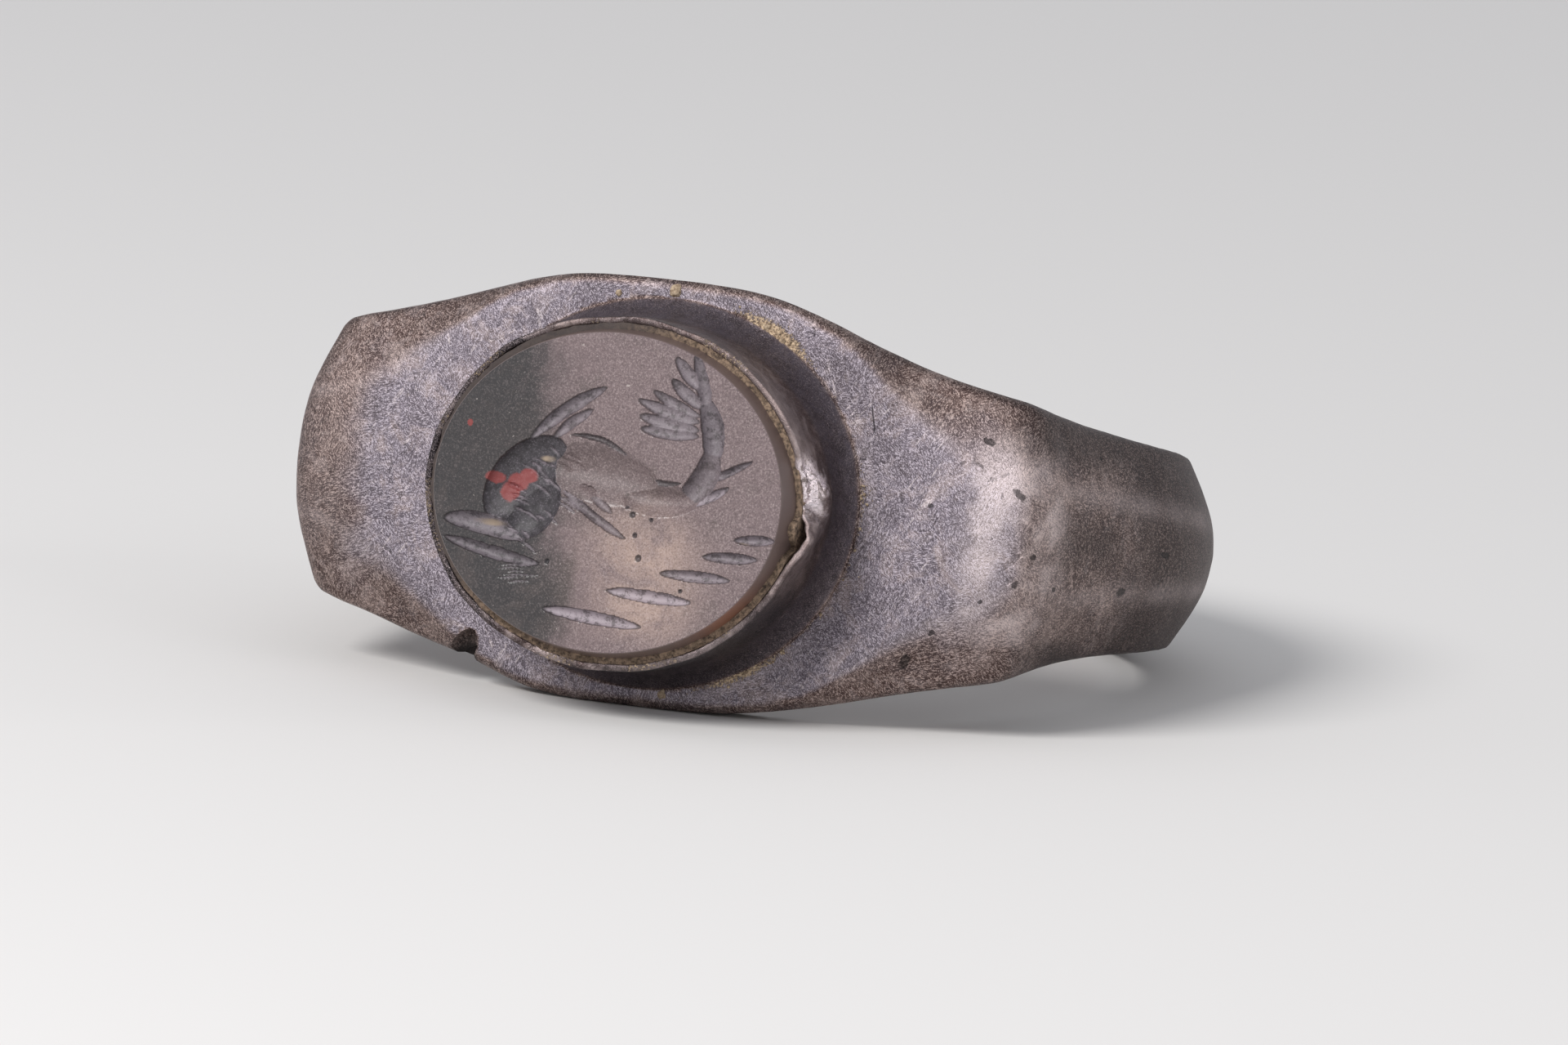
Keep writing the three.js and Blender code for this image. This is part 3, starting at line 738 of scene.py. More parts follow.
def stone_material(form):
    """Cloudy chalcedony: grey to the left, pinkish to the right, with dark cuts and a brown bevel."""
    stone = form.stone
    material, nodes, shader = new_material("Chalcedony")
    cut, tone, tint, red, deposit, dark_zone, light_band, body_haze, bevel, warmth = [
        nodes.mask(name) for name in STONE_MASKS]
    haze = nodes.speckle(0.7, 5.0, 0.66, 0.6)
    grit = nodes.speckle(19, 5.0, 0.85)
    motes = nodes.speckle(4.5, 4.0, 0.75)
    dots = nodes.speckle(8.5, 2.0, 0.6)

    shifted = nodes.plus(dark_zone, nodes.times(nodes.minus(haze, 0.5), 1.5))
    body = nodes.tinted(stone.pale_zone, stone.dark_zone, nodes.stepped(shifted, 0.02, 0.95))
    body = nodes.tinted(body, stone.light_band, nodes.times(light_band, nodes.stepped(haze, 0.2, 0.6)))
    body = nodes.tinted(body, srgb(92, 78, 73), body_haze, 0.42)
    grain = nodes.between(dark_zone, 0.46, 0.16)
    body = nodes.clouded(body, (
        (haze, 0.5, 0.72, 0.3, (100, 88, 84)),
        (grit, 0.50, 0.62, grain, (190, 175, 173)),
        (grit, 0.50, 0.38, grain, (48, 42, 43)),
        (motes, 0.60, 0.72, 0.42, (66, 60, 54)),
        (dots, 0.72, 0.77, 0.5, (206, 196, 190)),
    ))

    # The cuts, with a painted shadow line along their edges
    filling = nodes.tinted(stone.deep_cut, stone.shallow_cut, tone)
    filling = nodes.clouded(filling, (
        (grit, 0.50, 0.66, 0.4, (160, 152, 160)),
        (motes, 0.48, 0.62, 0.7, (34, 30, 33)),
    ))
    filling = nodes.tinted(filling, srgb(160, 142, 122), deposit)
    body = nodes.tinted(body, filling, nodes.times(nodes.stepped(cut, 0.08, 0.42), tint))
    cut_edge_shadow = nodes.times(nodes.stepped(cut, 0.02, 0.14), nodes.stepped(cut, 0.5, 0.18))
    body = nodes.tinted(body, srgb(40, 35, 37), nodes.times(cut_edge_shadow, tint), 0.8)

    reddened = nodes.plus(nodes.times(nodes.minus(motes, 0.5), 1.2), red)
    body = nodes.tinted(body, stone.red_mark, nodes.stepped(reddened, 0.30, 0.85), 0.62)
    glow = nodes.tinted(stone.bevel_glow, srgb(140, 86, 58), warmth)
    body = nodes.tinted(body, glow, nodes.stepped(bevel, 0.2, 0.7))

    height = nodes.plus(grit, nodes.times(motes, 0.7))
    bump = {"Strength": 0.25, "Distance": STONE_BUMP, "Height": height}
    nodes.fill(shader, {
        "Base Color": body,
        "Roughness": nodes.between(nodes.stepped(cut, 0.05, 0.3), 0.28, 0.55),
        "Normal": nodes.add("ShaderNodeBump", 0, bump),
        "IOR": 1.54,
        "Transmission Weight": 0.06,
    })
    return material


def crumbly_material(name, pale, dark, per_millimetre):
    """Dry paste or soil, grainy and matt."""
    material, nodes, shader = new_material(name)
    grains = nodes.speckle(per_millimetre, 4.0, 0.7)
    stains = nodes.speckle(2.2, 3.0, 0.6)
    body = nodes.tinted(dark, pale, nodes.stepped(grains, 0.32, 0.66))
    body = nodes.tinted(body, srgb(84, 70, 54), nodes.stepped(stains, 0.5, 0.72), 0.5)
    body = nodes.tinted(body, srgb(70, 63, 62), nodes.mask("shade"))
    bump = {"Strength": 0.6, "Distance": CRUMB_BUMP, "Height": grains}
    bumped = nodes.add("ShaderNodeBump", 0, bump)
    nodes.fill(shader, {"Base Color": body, "Roughness": 0.9, "Normal": bumped})
    return material


# The silver band

OUTER_POINTS = 76
SIDE_POINTS = 8
INNER_POINTS = 34
COLLAR_WALL_POINTS = 30
COLLAR_RIM_POINTS = 9
COLLAR_POINTS = 56
COLLAR_SECTIONS = 400
COLLAR_SINK = 0.35 * MM
BAND_CREASE = math.radians(48)
# The dark middle of the notch, along and across the bezel in millimetres
NOTCH_MIDDLE = (-5.15, -5.2)


def hoop_mesh(form):
    """The hoop with its flat shoulders, spun as a tube and reshaped to the section at each turn."""
    points = OUTER_POINTS + INNER_POINTS + 2 * SIDE_POINTS

    def place(part, turn):
        step = round(part * points) % points
        if step < OUTER_POINTS:
            return form.outside(turn, 1 - 2 * step / (OUTER_POINTS - 1))
        step -= OUTER_POINTS
        if step < SIDE_POINTS:
            return side(turn, -1, (step + 1) / (SIDE_POINTS + 1))
        step -= SIDE_POINTS
        if step < INNER_POINTS:
            return form.inside(turn, 2 * step / (INNER_POINTS - 1) - 1)
        return side(turn, 1, 1 - (step - INNER_POINTS + 1) / (SIDE_POINTS + 1))

    def side(turn, sign, part):
        return Vector(form.outside(turn, sign)).lerp(Vector(form.inside(turn, sign)), part)

    return reshaped(ring_tube(form.band.sections, points), place)


def collar_path(form):
    """Stations of the collar's section: size of the oval, height and share of the stone's shift."""
    paste = form.paste
    sunk = form.shoulder_height - COLLAR_SINK
    below_rim = form.rim_height - paste.rim_rounding
    path = [(form.foot, sunk, 0.0), (form.foot, form.shoulder_height - 0.1 * MM, 0.0)]
    for step in range(COLLAR_WALL_POINTS):
        height = (step / COLLAR_WALL_POINTS) ** 1.4
        spread = (1 - height) ** paste.flare_power
        lip = paste.rim_lip * math.sin(math.pi * min(height * 1.15, 1))
        grown = form.rim + Vector((paste.flare_along * spread - lip, paste.flare_across * spread - lip))
        path.append((grown, lerp(form.shoulder_height, below_rim, height), height ** 0.5))
    for step in range(COLLAR_RIM_POINTS):
        turn = math.pi * step / (COLLAR_RIM_POINTS - 1)
        inset = paste.rim_wall / 2 * (1 - math.cos(turn))
        rise = paste.rim_rounding * math.sin(turn) ** 0.6
        path.append((form.grown(form.rim, -inset), below_rim + rise, 1.0))
    left = COLLAR_POINTS - len(path)
    for step in range(left):
        path.append((form.collar_inside, lerp(below_rim, sunk, (step + 1) / left), 1.0))
    return path


def collar_mesh(form):
    path = collar_path(form)

    def place(part, turn):
        oval, height, shift = path[round(part * len(path)) % len(path)]
        return form.dented(form.on_oval(oval, turn, height, shift))

    return reshaped(ring_tube(COLLAR_SECTIONS, len(path)), place)


def roughen_metal(mesh_data, strength):
    """The soft unevenness of hammered and long-worn metal."""
    mesh_data.normal_update()
    moves = []
    for vert in mesh_data.verts:
        broad = noise_at(vert.co, 0.45, 3.0)
        medium = noise_at(vert.co, 1.5, 8.0)
        fine = noise_at(vert.co, 4.5, 5.0)
        moves.append(vert.normal * strength * (0.9 * broad + 0.4 * medium + 0.18 * fine - 0.35))
    for vert, move in zip(mesh_data.verts, moves):
        vert.co += move


def notch_tool(form):
    """A ragged leaning wedge, to be cut out of the lower edge."""
    band = form.band
    wedge = bmesh.new()
    bmesh.ops.create_cone(wedge, cap_ends=True, segments=14, radius1=1, radius2=1, depth=2 * band.notch_sink)
    upright = [edge for edge in wedge.edges if abs(edge.verts[0].co.z - edge.verts[1].co.z) > MM]
    bmesh.ops.subdivide_edges(wedge, edges=upright, cuts=12, use_grid_fill=False)
    for vert in wedge.verts:
        ragged = 1 + 0.45 * noise_at((vert.co.x * MM, vert.co.y * MM, vert.co.z), 1.9, 2.0)
        ragged *= lerp(0.45, 1, smooth(vert.co.z, -band.notch_sink, -0.3 * band.notch_sink))
        vert.co.x *= band.notch_width / 2 * ragged
        vert.co.y *= band.notch_depth * ragged
    bmesh.ops.rotate(wedge, verts=wedge.verts, matrix=Matrix.Rotation(-NOTCH_LEAN, 3, "Z"))
    across = CHIP_DEPTH - form.half_width_at(CHIP_ANGLE)
    along_bezel = form.outline_radius_at(CHIP_ANGLE) * math.sin(CHIP_ANGLE)
    bmesh.ops.translate(wedge, verts=wedge.verts, vec=(along_bezel, across, form.shoulder_height))
    return mesh_object("notch_tool", wedge)


def band_masks(form, point, normal):
    """How far each finish covers a point of the band, in the ring's own frame."""
    masks = dict.fromkeys(BAND_MASKS, 0.0)
    height = (point.z - form.shoulder_height) / (form.rim_height - form.shoulder_height)
    wave = noise_at(point, 0.8, 11.0)
    if form.foot_distance(point) < 0 and height > 0.01:
        masks.update(collar_masks(point, height, wave))
    else:
        masks.update(hoop_masks(form, point, normal, wave))
    return masks


def collar_masks(point, height, wave):
    """Finishes of the collar: a smooth foot, a black lower right that is partly tarnish and partly painted
    dark reflection, a brushed right side and a dent with painted highlights.
    """
    around = math.atan2(point.y, point.x)
    ragged = noise_at(point, 2.4, 4.0) + 0.6 * noise_at(point, 7.0, 4.0)
    low_right = near_direction(around, -58, 44)
    right = near_direction(around, 16, 38)
    foot_band = 1 - smooth(height, 0.3, 0.42)
    # The black lower right: partly tarnish, partly painted dark reflection
    black = 1.05 * low_right * smooth(height + 0.1 * ragged, 0.28, 0.42)
    grey = 0.56 - 0.2 * right * (1 - foot_band)
    tarnish_and_dark_reflection = smooth(height, 0.0, 0.03) * max(grey, (0.56 + 0.16 * low_right) * foot_band, black)
    left_rim = 0.84 * smooth(-point.x / MM, 0.5, 4) * smooth(height, 0.9, 0.97)
    # The dent's mask, which paints its highlight and its shaded folds
    dent = 1.5 * near_direction(around, 7.5, 6.5) * smooth(height + 0.3 * ragged, 0.42, 0.75)
    edge = smooth(height + 0.03 * wave, 0.94, 0.99) * (0.12 + 0.35 * black + 0.35 * ragged)
    brushed = 0.34 * right * smooth(height + 0.3 * ragged, 0.4, 0.85)
    # Wear on the rim's edge and the brushed right, and the dent's painted highlight
    worn = min(max(edge, dent, brushed, 0), 1)
    dent = min(max(dent, 0), 1)
    return {
        "collar": min(max(tarnish_and_dark_reflection, left_rim), 1) * (1 - dent),
        "worn": worn,
        "soil": 0.5 * smooth(height, 0.93, 1.0) * smooth(wave, -0.1, 0.4),
        "smooth": 0.9 - 0.6 * dent,
        "dent": dent,
        "foot": foot_band * (1 - 0.45 * low_right),
    }


def wear_highlight_and_shade(form, point, wave):
    """How far the hoop's outside is polished by handling and brightened by painted highlights, and how far it
    is darkened, mostly by painted shade and shadow.
    """
    turn = math.atan2(point.x, point.z)
    x, y, z = point / MM
    half_width = form.half_width_at(turn)

    # Polished, and brightened by painted highlights: the shoulders' corners, mostly the right one, and the
    # line between flat and flank
    shoulder = smooth(abs(x) + 0.6 * wave, 8.2, 9.6) * smooth(z, 6.2, 8.2)
    middle = 1 - smooth(abs(y + 0.3) + 0.5 * wave, 1.6, 3.6)
    broken = smooth(noise_at(point, 0.9, 2.0) + 0.5 * noise_at(point, 2.5, 2.0), -0.35, 0.4)
    corner = shoulder * middle * (0.24 + 0.76 * broken if x > 0 else 0.12)
    from_middle = abs(point.y + form.sag_at(turn))
    near_crest = hump(from_middle, half_width * form.flat_share_at(turn), 0.3 * MM)
    crest_wear_and_highlight = (0.3 + 0.2 * wave) * near_crest * smooth(abs(turn), FLANK_START, FLANK_END)

    # Dark: a patch above the collar's right, painted shade over the far right and both right flanks, and a
    # painted shadow along the lower edge
    dark = max(
        0.36 * hump(math.hypot(x - 5.9, y - 3.9), 0, 1.7),
        0.95 * smooth(turn + 0.12 * wave, 1.12, 1.45),
        0.85 * hump(turn, math.radians(66), 0.2) * hump(y, 0.0, 0.9) * smooth(wave, -0.8, 0.1),
        smooth(-y + 0.2 * wave, 2.3, 3.2) * smooth(turn, 0.8, 1.1),
        0.9 * smooth(y, 1.5, 2.6) * smooth(turn, 0.75, 1.0),
        0.95 * smooth(-y - half_width / MM, -0.34, -0.1) * hump(x + wave, -1.8, 2.4),
    )
    return max(corner, crest_wear_and_highlight), dark


def hoop_masks(form, point, normal, wave):
    """Finishes of the hoop, its shoulders and the bezel's flat, with the painted shade and highlights on
    them.
    """
    x, y, z = point / MM
    bezel = smooth(normal.z + 0.03 * wave, 0.90, 0.985) if z > 0 else 0.0
    bezel *= smooth(x + 0.5 * wave, -9.5, -8.2)
    worn, dark, soil = 0.0, 0.0, 0.0
    if math.hypot(x, z) > (form.band.hole_radius + 0.4 * form.band.crown_wall) / MM:
        worn, dark = wear_highlight_and_shade(form, point, wave)
    away = form.foot_distance(point) / MM
    if point.z > form.crown_height and -0.05 < away < 1.2:
        # Soil gathers in the corner at the collar's foot, most of it above and below the stone
        around = math.atan2(point.y, point.x)
        upper = hump(around, math.radians(58), 0.28)
        right = 0.6 * hump(around, math.radians(8), 0.35)
        lower = 0.8 * hump(around, math.radians(-56), 0.4)
        left = 0.5 * hump(around, math.radians(-108), 0.2)
        reach = 0.1 + 0.16 * upper + 0.08 * lower
        soil = hump(away, 0.06, reach) * max(upper, right, lower, left, 0.3)
        worn = max(worn, 0.4 * hump(away, 0.26, 0.14) * max(lower, right))
    # The middle of the notch is darkened
    notch_away = math.hypot(x - NOTCH_MIDDLE[0], (y - NOTCH_MIDDLE[1]) * 0.8)
    notch_darkening = 1 - smooth(notch_away + 0.25 * wave, 0.42, 0.72)
    return {"bezel": bezel, "worn": worn, "dark": dark, "soil": soil, "notch_darkening": notch_darkening}


class RING_OT_band(bpy.types.Operator):
    """Build the silver hoop, its shoulders and the collar as one cast piece"""
    bl_idname = "ring.add_band"
    bl_label = "Add band"

    def execute(self, context):
        form = RingForm(context.scene)
        hoop = hoop_mesh(form)
        roughen_metal(hoop, form.band.hammering)
        collar = collar_mesh(form)
        roughen_metal(collar, form.band.hammering * 0.7)
        piece = mesh_object("silver_band", hoop)
        cut_or_joined(piece, mesh_object("collar_tool", collar), "UNION")
        cut_or_joined(piece, notch_tool(form), "DIFFERENCE")
        masks = {}
        for vert in piece.data.vertices:
            for name, value in band_masks(form, vert.co, vert.normal).items():
                masks.setdefault(name, []).append(value)
        write_masks(piece, masks)
        piece.data.transform(form.laid_down)
        for vert in piece.data.vertices:
            vert.co.z = max(vert.co.z, 0.0)
        piece.data.materials.clear()
        piece.data.materials.append(silver_material(form))
        piece.data.shade_smooth()
        piece.data.set_sharp_from_angle(angle=BAND_CREASE)
        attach(piece, "root")
        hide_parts("ring_band")
        return {"FINISHED"}


# The engraved stone. Cuts are shares of half the length of the stone's face: from, to, width, depth, bow,
# then the tone of the cut, from dark to pale, and how strongly it shows.

SEA_GOAT = {
    "neck": ((-0.68, -0.17), (-0.27, 0.25), 0.32, 0.075, 0.02, 0.08, 1.0),
    "chest": ((-0.54, -0.27), (-0.3, 0.04), 0.26, 0.08, 0.0, 0.08, 1.0),
    "barrel": ((-0.42, 0.12), (0.3, 0.04), 0.33, 0.085, 0.02, 0.5, 0.06),
    "loin": ((0.0, 0.03), (0.55, 0.0), 0.19, 0.07, -0.03, 0.5, 0.06),
    # The back and the croup are thin dark-toned cuts that paint the shadow line along the goat's back
    "back": ((-0.24, 0.29), (0.17, 0.115), 0.034, 0.022, 0.062, 0.05, 0.72),
    "croup": ((0.12, 0.16), (0.43, 0.085), 0.034, 0.022, -0.045, 0.05, 0.72),
    "upper_horn": ((-0.47, 0.25), (-0.05, 0.56), 0.075, 0.034, 0.022, 0.42, 0.85),
    "lower_horn": ((-0.34, 0.26), (-0.12, 0.435), 0.06, 0.028, 0.01, 0.5, 0.8),
    "upper_foreleg": ((-0.93, -0.2), (-0.44, -0.28), 0.115, 0.05, 0.02, 0.42, 0.85),
    "lower_foreleg": ((-0.92, -0.3), (-0.35, -0.41), 0.07, 0.04, -0.01, 0.4, 0.85),
    "hind_leg": ((-0.26, 0.0), (0.13, -0.24), 0.05, 0.034, -0.012, 0.45, 0.7),
    "short_leg": ((-0.14, 0.02), (0.04, -0.11), 0.045, 0.026, 0.0, 0.5, 0.5),
    "tail_root": ((0.4, -0.05), (0.6, 0.31), 0.15, 0.06, -0.05, 0.35, 0.7),
    "tail": ((0.58, 0.16), (0.5, 0.56), 0.13, 0.055, -0.04, 0.36, 0.9),
    "tail_stem": ((0.54, 0.42), (0.44, 0.78), 0.08, 0.04, -0.01, 0.38, 0.85),
    "upper_fin": ((0.48, 0.08), (0.82, 0.23), 0.044, 0.03, -0.012, 0.42, 0.85),
    "lower_fin": ((0.45, -0.04), (0.7, 0.08), 0.052, 0.03, -0.008, 0.72, 0.85),
}

# Lobes of the tail: root, length, direction in degrees and width.
TAIL_LOBES = (
    ((0.5, 0.58), 0.24, 135, 0.075),
    ((0.51, 0.49), 0.24, 144, 0.075),
    ((0.5, 0.44), 0.31, 157, 0.06),
    ((0.5, 0.41), 0.38, 165, 0.07),
    ((0.5, 0.37), 0.36, 171, 0.075),
    ((0.5, 0.34), 0.34, 177, 0.07),
)
SOFT_CUTS = ("barrel", "loin")
SOFT_EDGE = 1.4
GROUND_STROKES = 5
GROUND_TONES = (0.55, 0.5, 0.6, 0.95, 0.9)
# 0 gives a cut round ends, 1 gives it pointed ones
END_POINTEDNESS = 0.1
LOBE_DEPTH = 0.03
GROUND_DEPTH = 0.034
HAIR_STROKES = 34
HAIR_AREA = (Vector((-0.66, -0.16)), Vector((-0.3, 0.24)))
FINE_SCRATCHES = 6
FINE_DEPTH = 0.06 * MM
STONE_CREASE = math.radians(28)


class Cut:
    """One cut of the engraver's wheel: a spindle, bowed sideways."""

    def __init__(self, start, end, width, depth, bow, tone, tint, unit, profile=0.5):
        start, end = Vector(start) * unit, Vector(end) * unit
        self.middle = (start + end) / 2
        self.half = (end - start).length / 2
        self.direction = (end - start).normalized()
        self.width, self.depth, self.bow = width * unit / 2, depth * unit, bow * unit
        self.tone, self.tint, self.profile = tone, tint, profile
        self.reach = self.half + self.width + abs(self.bow)

    def depth_at(self, x, y):
        dx, dy = x - self.middle.x, y - self.middle.y
        if abs(dx) > self.reach or abs(dy) > self.reach:
            return 0.0
        run = (dx * self.direction.x + dy * self.direction.y) / self.half
        if abs(run) >= 1:
            return 0.0
        lens = 1 - run * run
        across = -dx * self.direction.y + dy * self.direction.x - self.bow * lens
        radius = math.sqrt(lens) * lens ** (END_POINTEDNESS / 2)
        part = across / max(self.width * radius, 1e-9)
        if abs(part) >= 1:
            return 0.0
        return self.depth * radius * (1 - part * part) ** self.profile


def stone_cuts(unit):
    """All the main cuts. The unit is half the length of the stone's face."""
    cuts = [Cut(*values, unit, SOFT_EDGE if name in SOFT_CUTS else 0.5) for name, values in SEA_GOAT.items()]
    for root, reach, direction, width in TAIL_LOBES:
        turn = math.radians(direction)
        tip = (root[0] + reach * math.cos(turn), root[1] + reach * math.sin(turn))
        cuts.append(Cut(root, tip, width, LOBE_DEPTH, 0.008, 0.45, 0.8, unit))

    # The ground strokes: each is longer, lower and further to the left than the one before
    for step in range(GROUND_STROKES):
        middle = (0.868 - 0.1 * step - 0.031 * step ** 2, -0.19 - 0.098 * step - 0.0055 * step ** 2)
        half = 0.115 + 0.045 * step
        turn = math.radians(3 - 2.2 * step)
        reach = (half * math.cos(turn), half * math.sin(turn))
        start = (middle[0] - reach[0], middle[1] - reach[1])
        end = (middle[0] + reach[0], middle[1] + reach[1])
        width = 0.056 + 0.004 * step
        cuts.append(Cut(start, end, width, GROUND_DEPTH, 0.0, GROUND_TONES[step], 0.85, unit))
    return cuts


def hair_cuts(unit):
    """Ragged short strokes for the hair of the neck and chest, and thin scratches under the foreleg."""
    cuts = []
    draw = random.Random(3)
    for step in range(HAIR_STROKES):
        start = HAIR_AREA[0].lerp(HAIR_AREA[1], draw.random())
        start += Vector((0.11, -0.1)) * draw.uniform(-0.6, 1.6)
        reach = Vector((0.11, draw.uniform(-0.09, -0.03))) * draw.uniform(0.6, 1.2)
        cuts.append(Cut(start, start + reach, 0.018, 0.01, 0.004, 0.6, 1, unit))
    for step in range(FINE_SCRATCHES):
        start = Vector((-0.63, -0.43)) + Vector((draw.uniform(0, 0.12), -0.017 * step))
        end = start + Vector((draw.uniform(0.1, 0.26), 0.012))
        cuts.append(Cut(start, end, 0.012, 0.006, 0, 0.95, 1, unit))
    return cuts


# Small round pits in the stone: place and radius in millimetres.
STONE_PITS = (
    (0.79, -0.53, 0.09), (1.34, -0.63, 0.06), (1.07, -1.67, 0.1), (0.91, -1.07, 0.07),
    (-1.55, -1.95, 0.07), (0.62, -0.35, 0.05), (2.35, -2.45, 0.06),
)
# Red patches, and beige deposits in the cuts: place, radii along and across in millimetres.
RED_PATCHES = (
    (-3.3, 0.06, 0.22, 0.16), (-2.45, 0.18, 0.26, 0.2), (-2.7, 0.0, 0.3, 0.24),
    (-2.9, -0.28, 0.26, 0.26), (-4.15, 1.42, 0.08, 0.1),
)
DEPOSITS = (
    (-3.3, -1.15, 0.4, 0.08), (-1.9, 0.7, 0.2, 0.07), (4.0, -1.0, 0.25, 0.09), (1.6, -3.05, 0.16, 0.1),
)


def in_ovals(ovals, x, y):
    """1 inside any of the ovals, falling to 0 outside them."""
    best = 0.0
    for middle_x, middle_y, along_size, across_size in ovals:
        reach = math.hypot((x - middle_x) / along_size, (y - middle_y) / across_size)
        best = max(best, 1 - smooth(reach, 0.6, 1.5))
    return best


STONE_MASKS = ("cut", "tone", "tint", "red", "deposit", "dark_zone", "light_band", "haze", "bevel", "glow")


def stone_masks(point, depth, fine, leading):
    """How far each colour covers a point of the stone's face, in millimetres from its middle."""
    x, y = point.x, point.y
    wave = noise_at(point * MM, 0.5, 6.0)
    ragged = noise_at(point * MM, 1.6, 3.0)
    light_column = hump(x + 0.4 * wave, 1.25, 1.3) * (1 - smooth(y + 0.7 * wave, -1.4, 0.3))
    light_column *= smooth(y, -4.4, -2.8)
    body = hump(math.hypot((x + 0.3) / 2.5, (y - 0.3 + 0.16 * x) / 1.05) + 0.25 * ragged, 0.2, 0.75)
    return {
        "cut": min(depth ** 0.8 * 1.6 + fine, 1.0),
        "tone": min(leading.tone + 0.4 * fine, 1.0) if leading else 0.5,
        "tint": leading.tint if leading else 0.6,
        "red": in_ovals(RED_PATCHES, x, y),
        "deposit": 0.9 * in_ovals(DEPOSITS, x, y) * smooth(ragged, -0.4, 0.2),
        "dark_zone": 1 - smooth(x + 1.3 * wave + 0.3 * ragged + 0.15 * y, -3.1, 0.2),
        "light_band": light_column,
        "haze": body,
        "bevel": 0.0,
        "glow": 0.0,
    }


def oval_face(form):
    """A grid mapped onto the stone's oval face, lying in the XY plane."""
    stone = form.stone
    face = bmesh.new()
    bmesh.ops.create_grid(face, x_segments=stone.columns, y_segments=stone.rows, size=1)
    for vert in face.verts:
        u, v = vert.co.x, vert.co.y
        vert.co.x = form.face.x * u * math.sqrt(1 - v * v / 2)
        vert.co.y = form.face.y * v * math.sqrt(1 - u * u / 2)
    return face


def extrude_skirt(mesh_data, form, sizes):
    """Draws the face's edge down through the given ovals and heights, and closes the base."""
    rim = [edge for edge in mesh_data.edges if edge.is_boundary]
    size, height = form.face, 0.0
    for next_size, next_height in sizes:
        result = bmesh.ops.extrude_edge_only(mesh_data, edges=rim)["geom"]
        verts = [item for item in result if isinstance(item, bmesh.types.BMVert)]
        rim = [item for item in result if isinstance(item, bmesh.types.BMEdge) and item.is_boundary]
        for vert in verts:
            vert.co.x *= next_size.x / size.x
            vert.co.y *= next_size.y / size.y
            vert.co.z += next_height - height
        size, height = next_size, next_height
    bmesh.ops.holes_fill(mesh_data, edges=rim, sides=0)


def pits_at(x, y):
    """How deep the small pits are at a point, and whether it lies in one."""
    depth, pitted = 0.0, False
    for pit_x, pit_y, radius in STONE_PITS:
        away = math.hypot(x / MM - pit_x, y / MM - pit_y) / radius
        if away < 1.1:
            depth += FINE_DEPTH * (1 - smooth(away, 0.4, 1.1))
            pitted = True
    return depth, pitted


def engraved_face(form):
    """The stone's face with its cuts, and the masks for their colours."""
    face = oval_face(form)
    cuts, hairs = stone_cuts(form.face.x), hair_cuts(form.face.x)
    deepest = max(cut.depth for cut in cuts)
    unturn = Matrix.Rotation(-form.stone.figure_turn, 2)
    masks = {name: [] for name in STONE_MASKS}
    for vert in face.verts:
        x, y = unturn @ vert.co.xy
        x += (0.02 * noise_at(vert.co, 2.6, 1.0) + 0.008 * noise_at(vert.co, 8, 2.0)) * MM
        y += (0.02 * noise_at(vert.co, 2.6, 7.0) + 0.008 * noise_at(vert.co, 8, 9.0)) * MM
        depth, leading = 0.0, None
        for cut in cuts:
            own = cut.depth_at(x, y)
            if own > depth:
                depth, leading = own, cut
        pit_depth, pitted = pits_at(x, y)
        fine = sum(cut.depth_at(x, y) for cut in hairs) + pit_depth
        uneven = noise_at(vert.co, 2.0, 4.0) + noise_at(vert.co, 6.0, 4.0)
        vert.co.z = -depth - fine + uneven * (0.003 if depth == 0 else 0.012) * MM
        shares = stone_masks(vert.co / MM, depth / deepest, fine / FINE_DEPTH, leading)
        if pitted:
            shares.update(tone=0.0, tint=0.8)
        for name, value in shares.items():
            masks[name].append(value)
    return face, masks


class RING_OT_stone(bpy.types.Operator):
    """Build the oval stone with its bevel and the engraving in its face"""
    bl_idname = "ring.add_stone"
    bl_label = "Add stone"

    def execute(self, context):
        form = RingForm(context.scene)
        stone = form.stone
        face, masks = engraved_face(form)
        extrude_skirt(face, form, [
            (form.face.lerp(form.girdle, 0.2), -0.03 * MM),
            (form.girdle, -stone.bevel_drop),
            (form.girdle, stone.taper - stone.thickness),
            (form.grown(form.girdle, -stone.taper), -stone.thickness),
        ])
        face.verts.ensure_lookup_table()
        for vert in face.verts[len(masks["cut"]):]:
            around = math.atan2(vert.co.y, vert.co.x)
            side = {"bevel": 1.0, "tone": 0.5, "glow": 0.6 * hump(around, math.radians(-38), 0.2)}
            for name in STONE_MASKS:
                masks[name].append(side.get(name, 0.0))
        bmesh.ops.translate(face, verts=face.verts, vec=(0, -stone.shift, form.stone_face))
        bmesh.ops.recalc_face_normals(face, faces=face.faces)
        piece = mesh_object("engraved_chalcedony", face, STONE_CREASE)
        write_masks(piece, masks)
        piece.data.transform(form.laid_down)
        piece.data.materials.append(stone_material(form))
        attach(piece, "root")
        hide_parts("engraved_stone")
        return {"FINISHED"}


# The setting paste

PASTE_WALL_POINTS = 17
PASTE_TOP_POINTS = 3
PASTE_SECTIONS = 360
PASTE_OVERLAP = 0.02 * MM
PASTE_CREASE = math.radians(50)


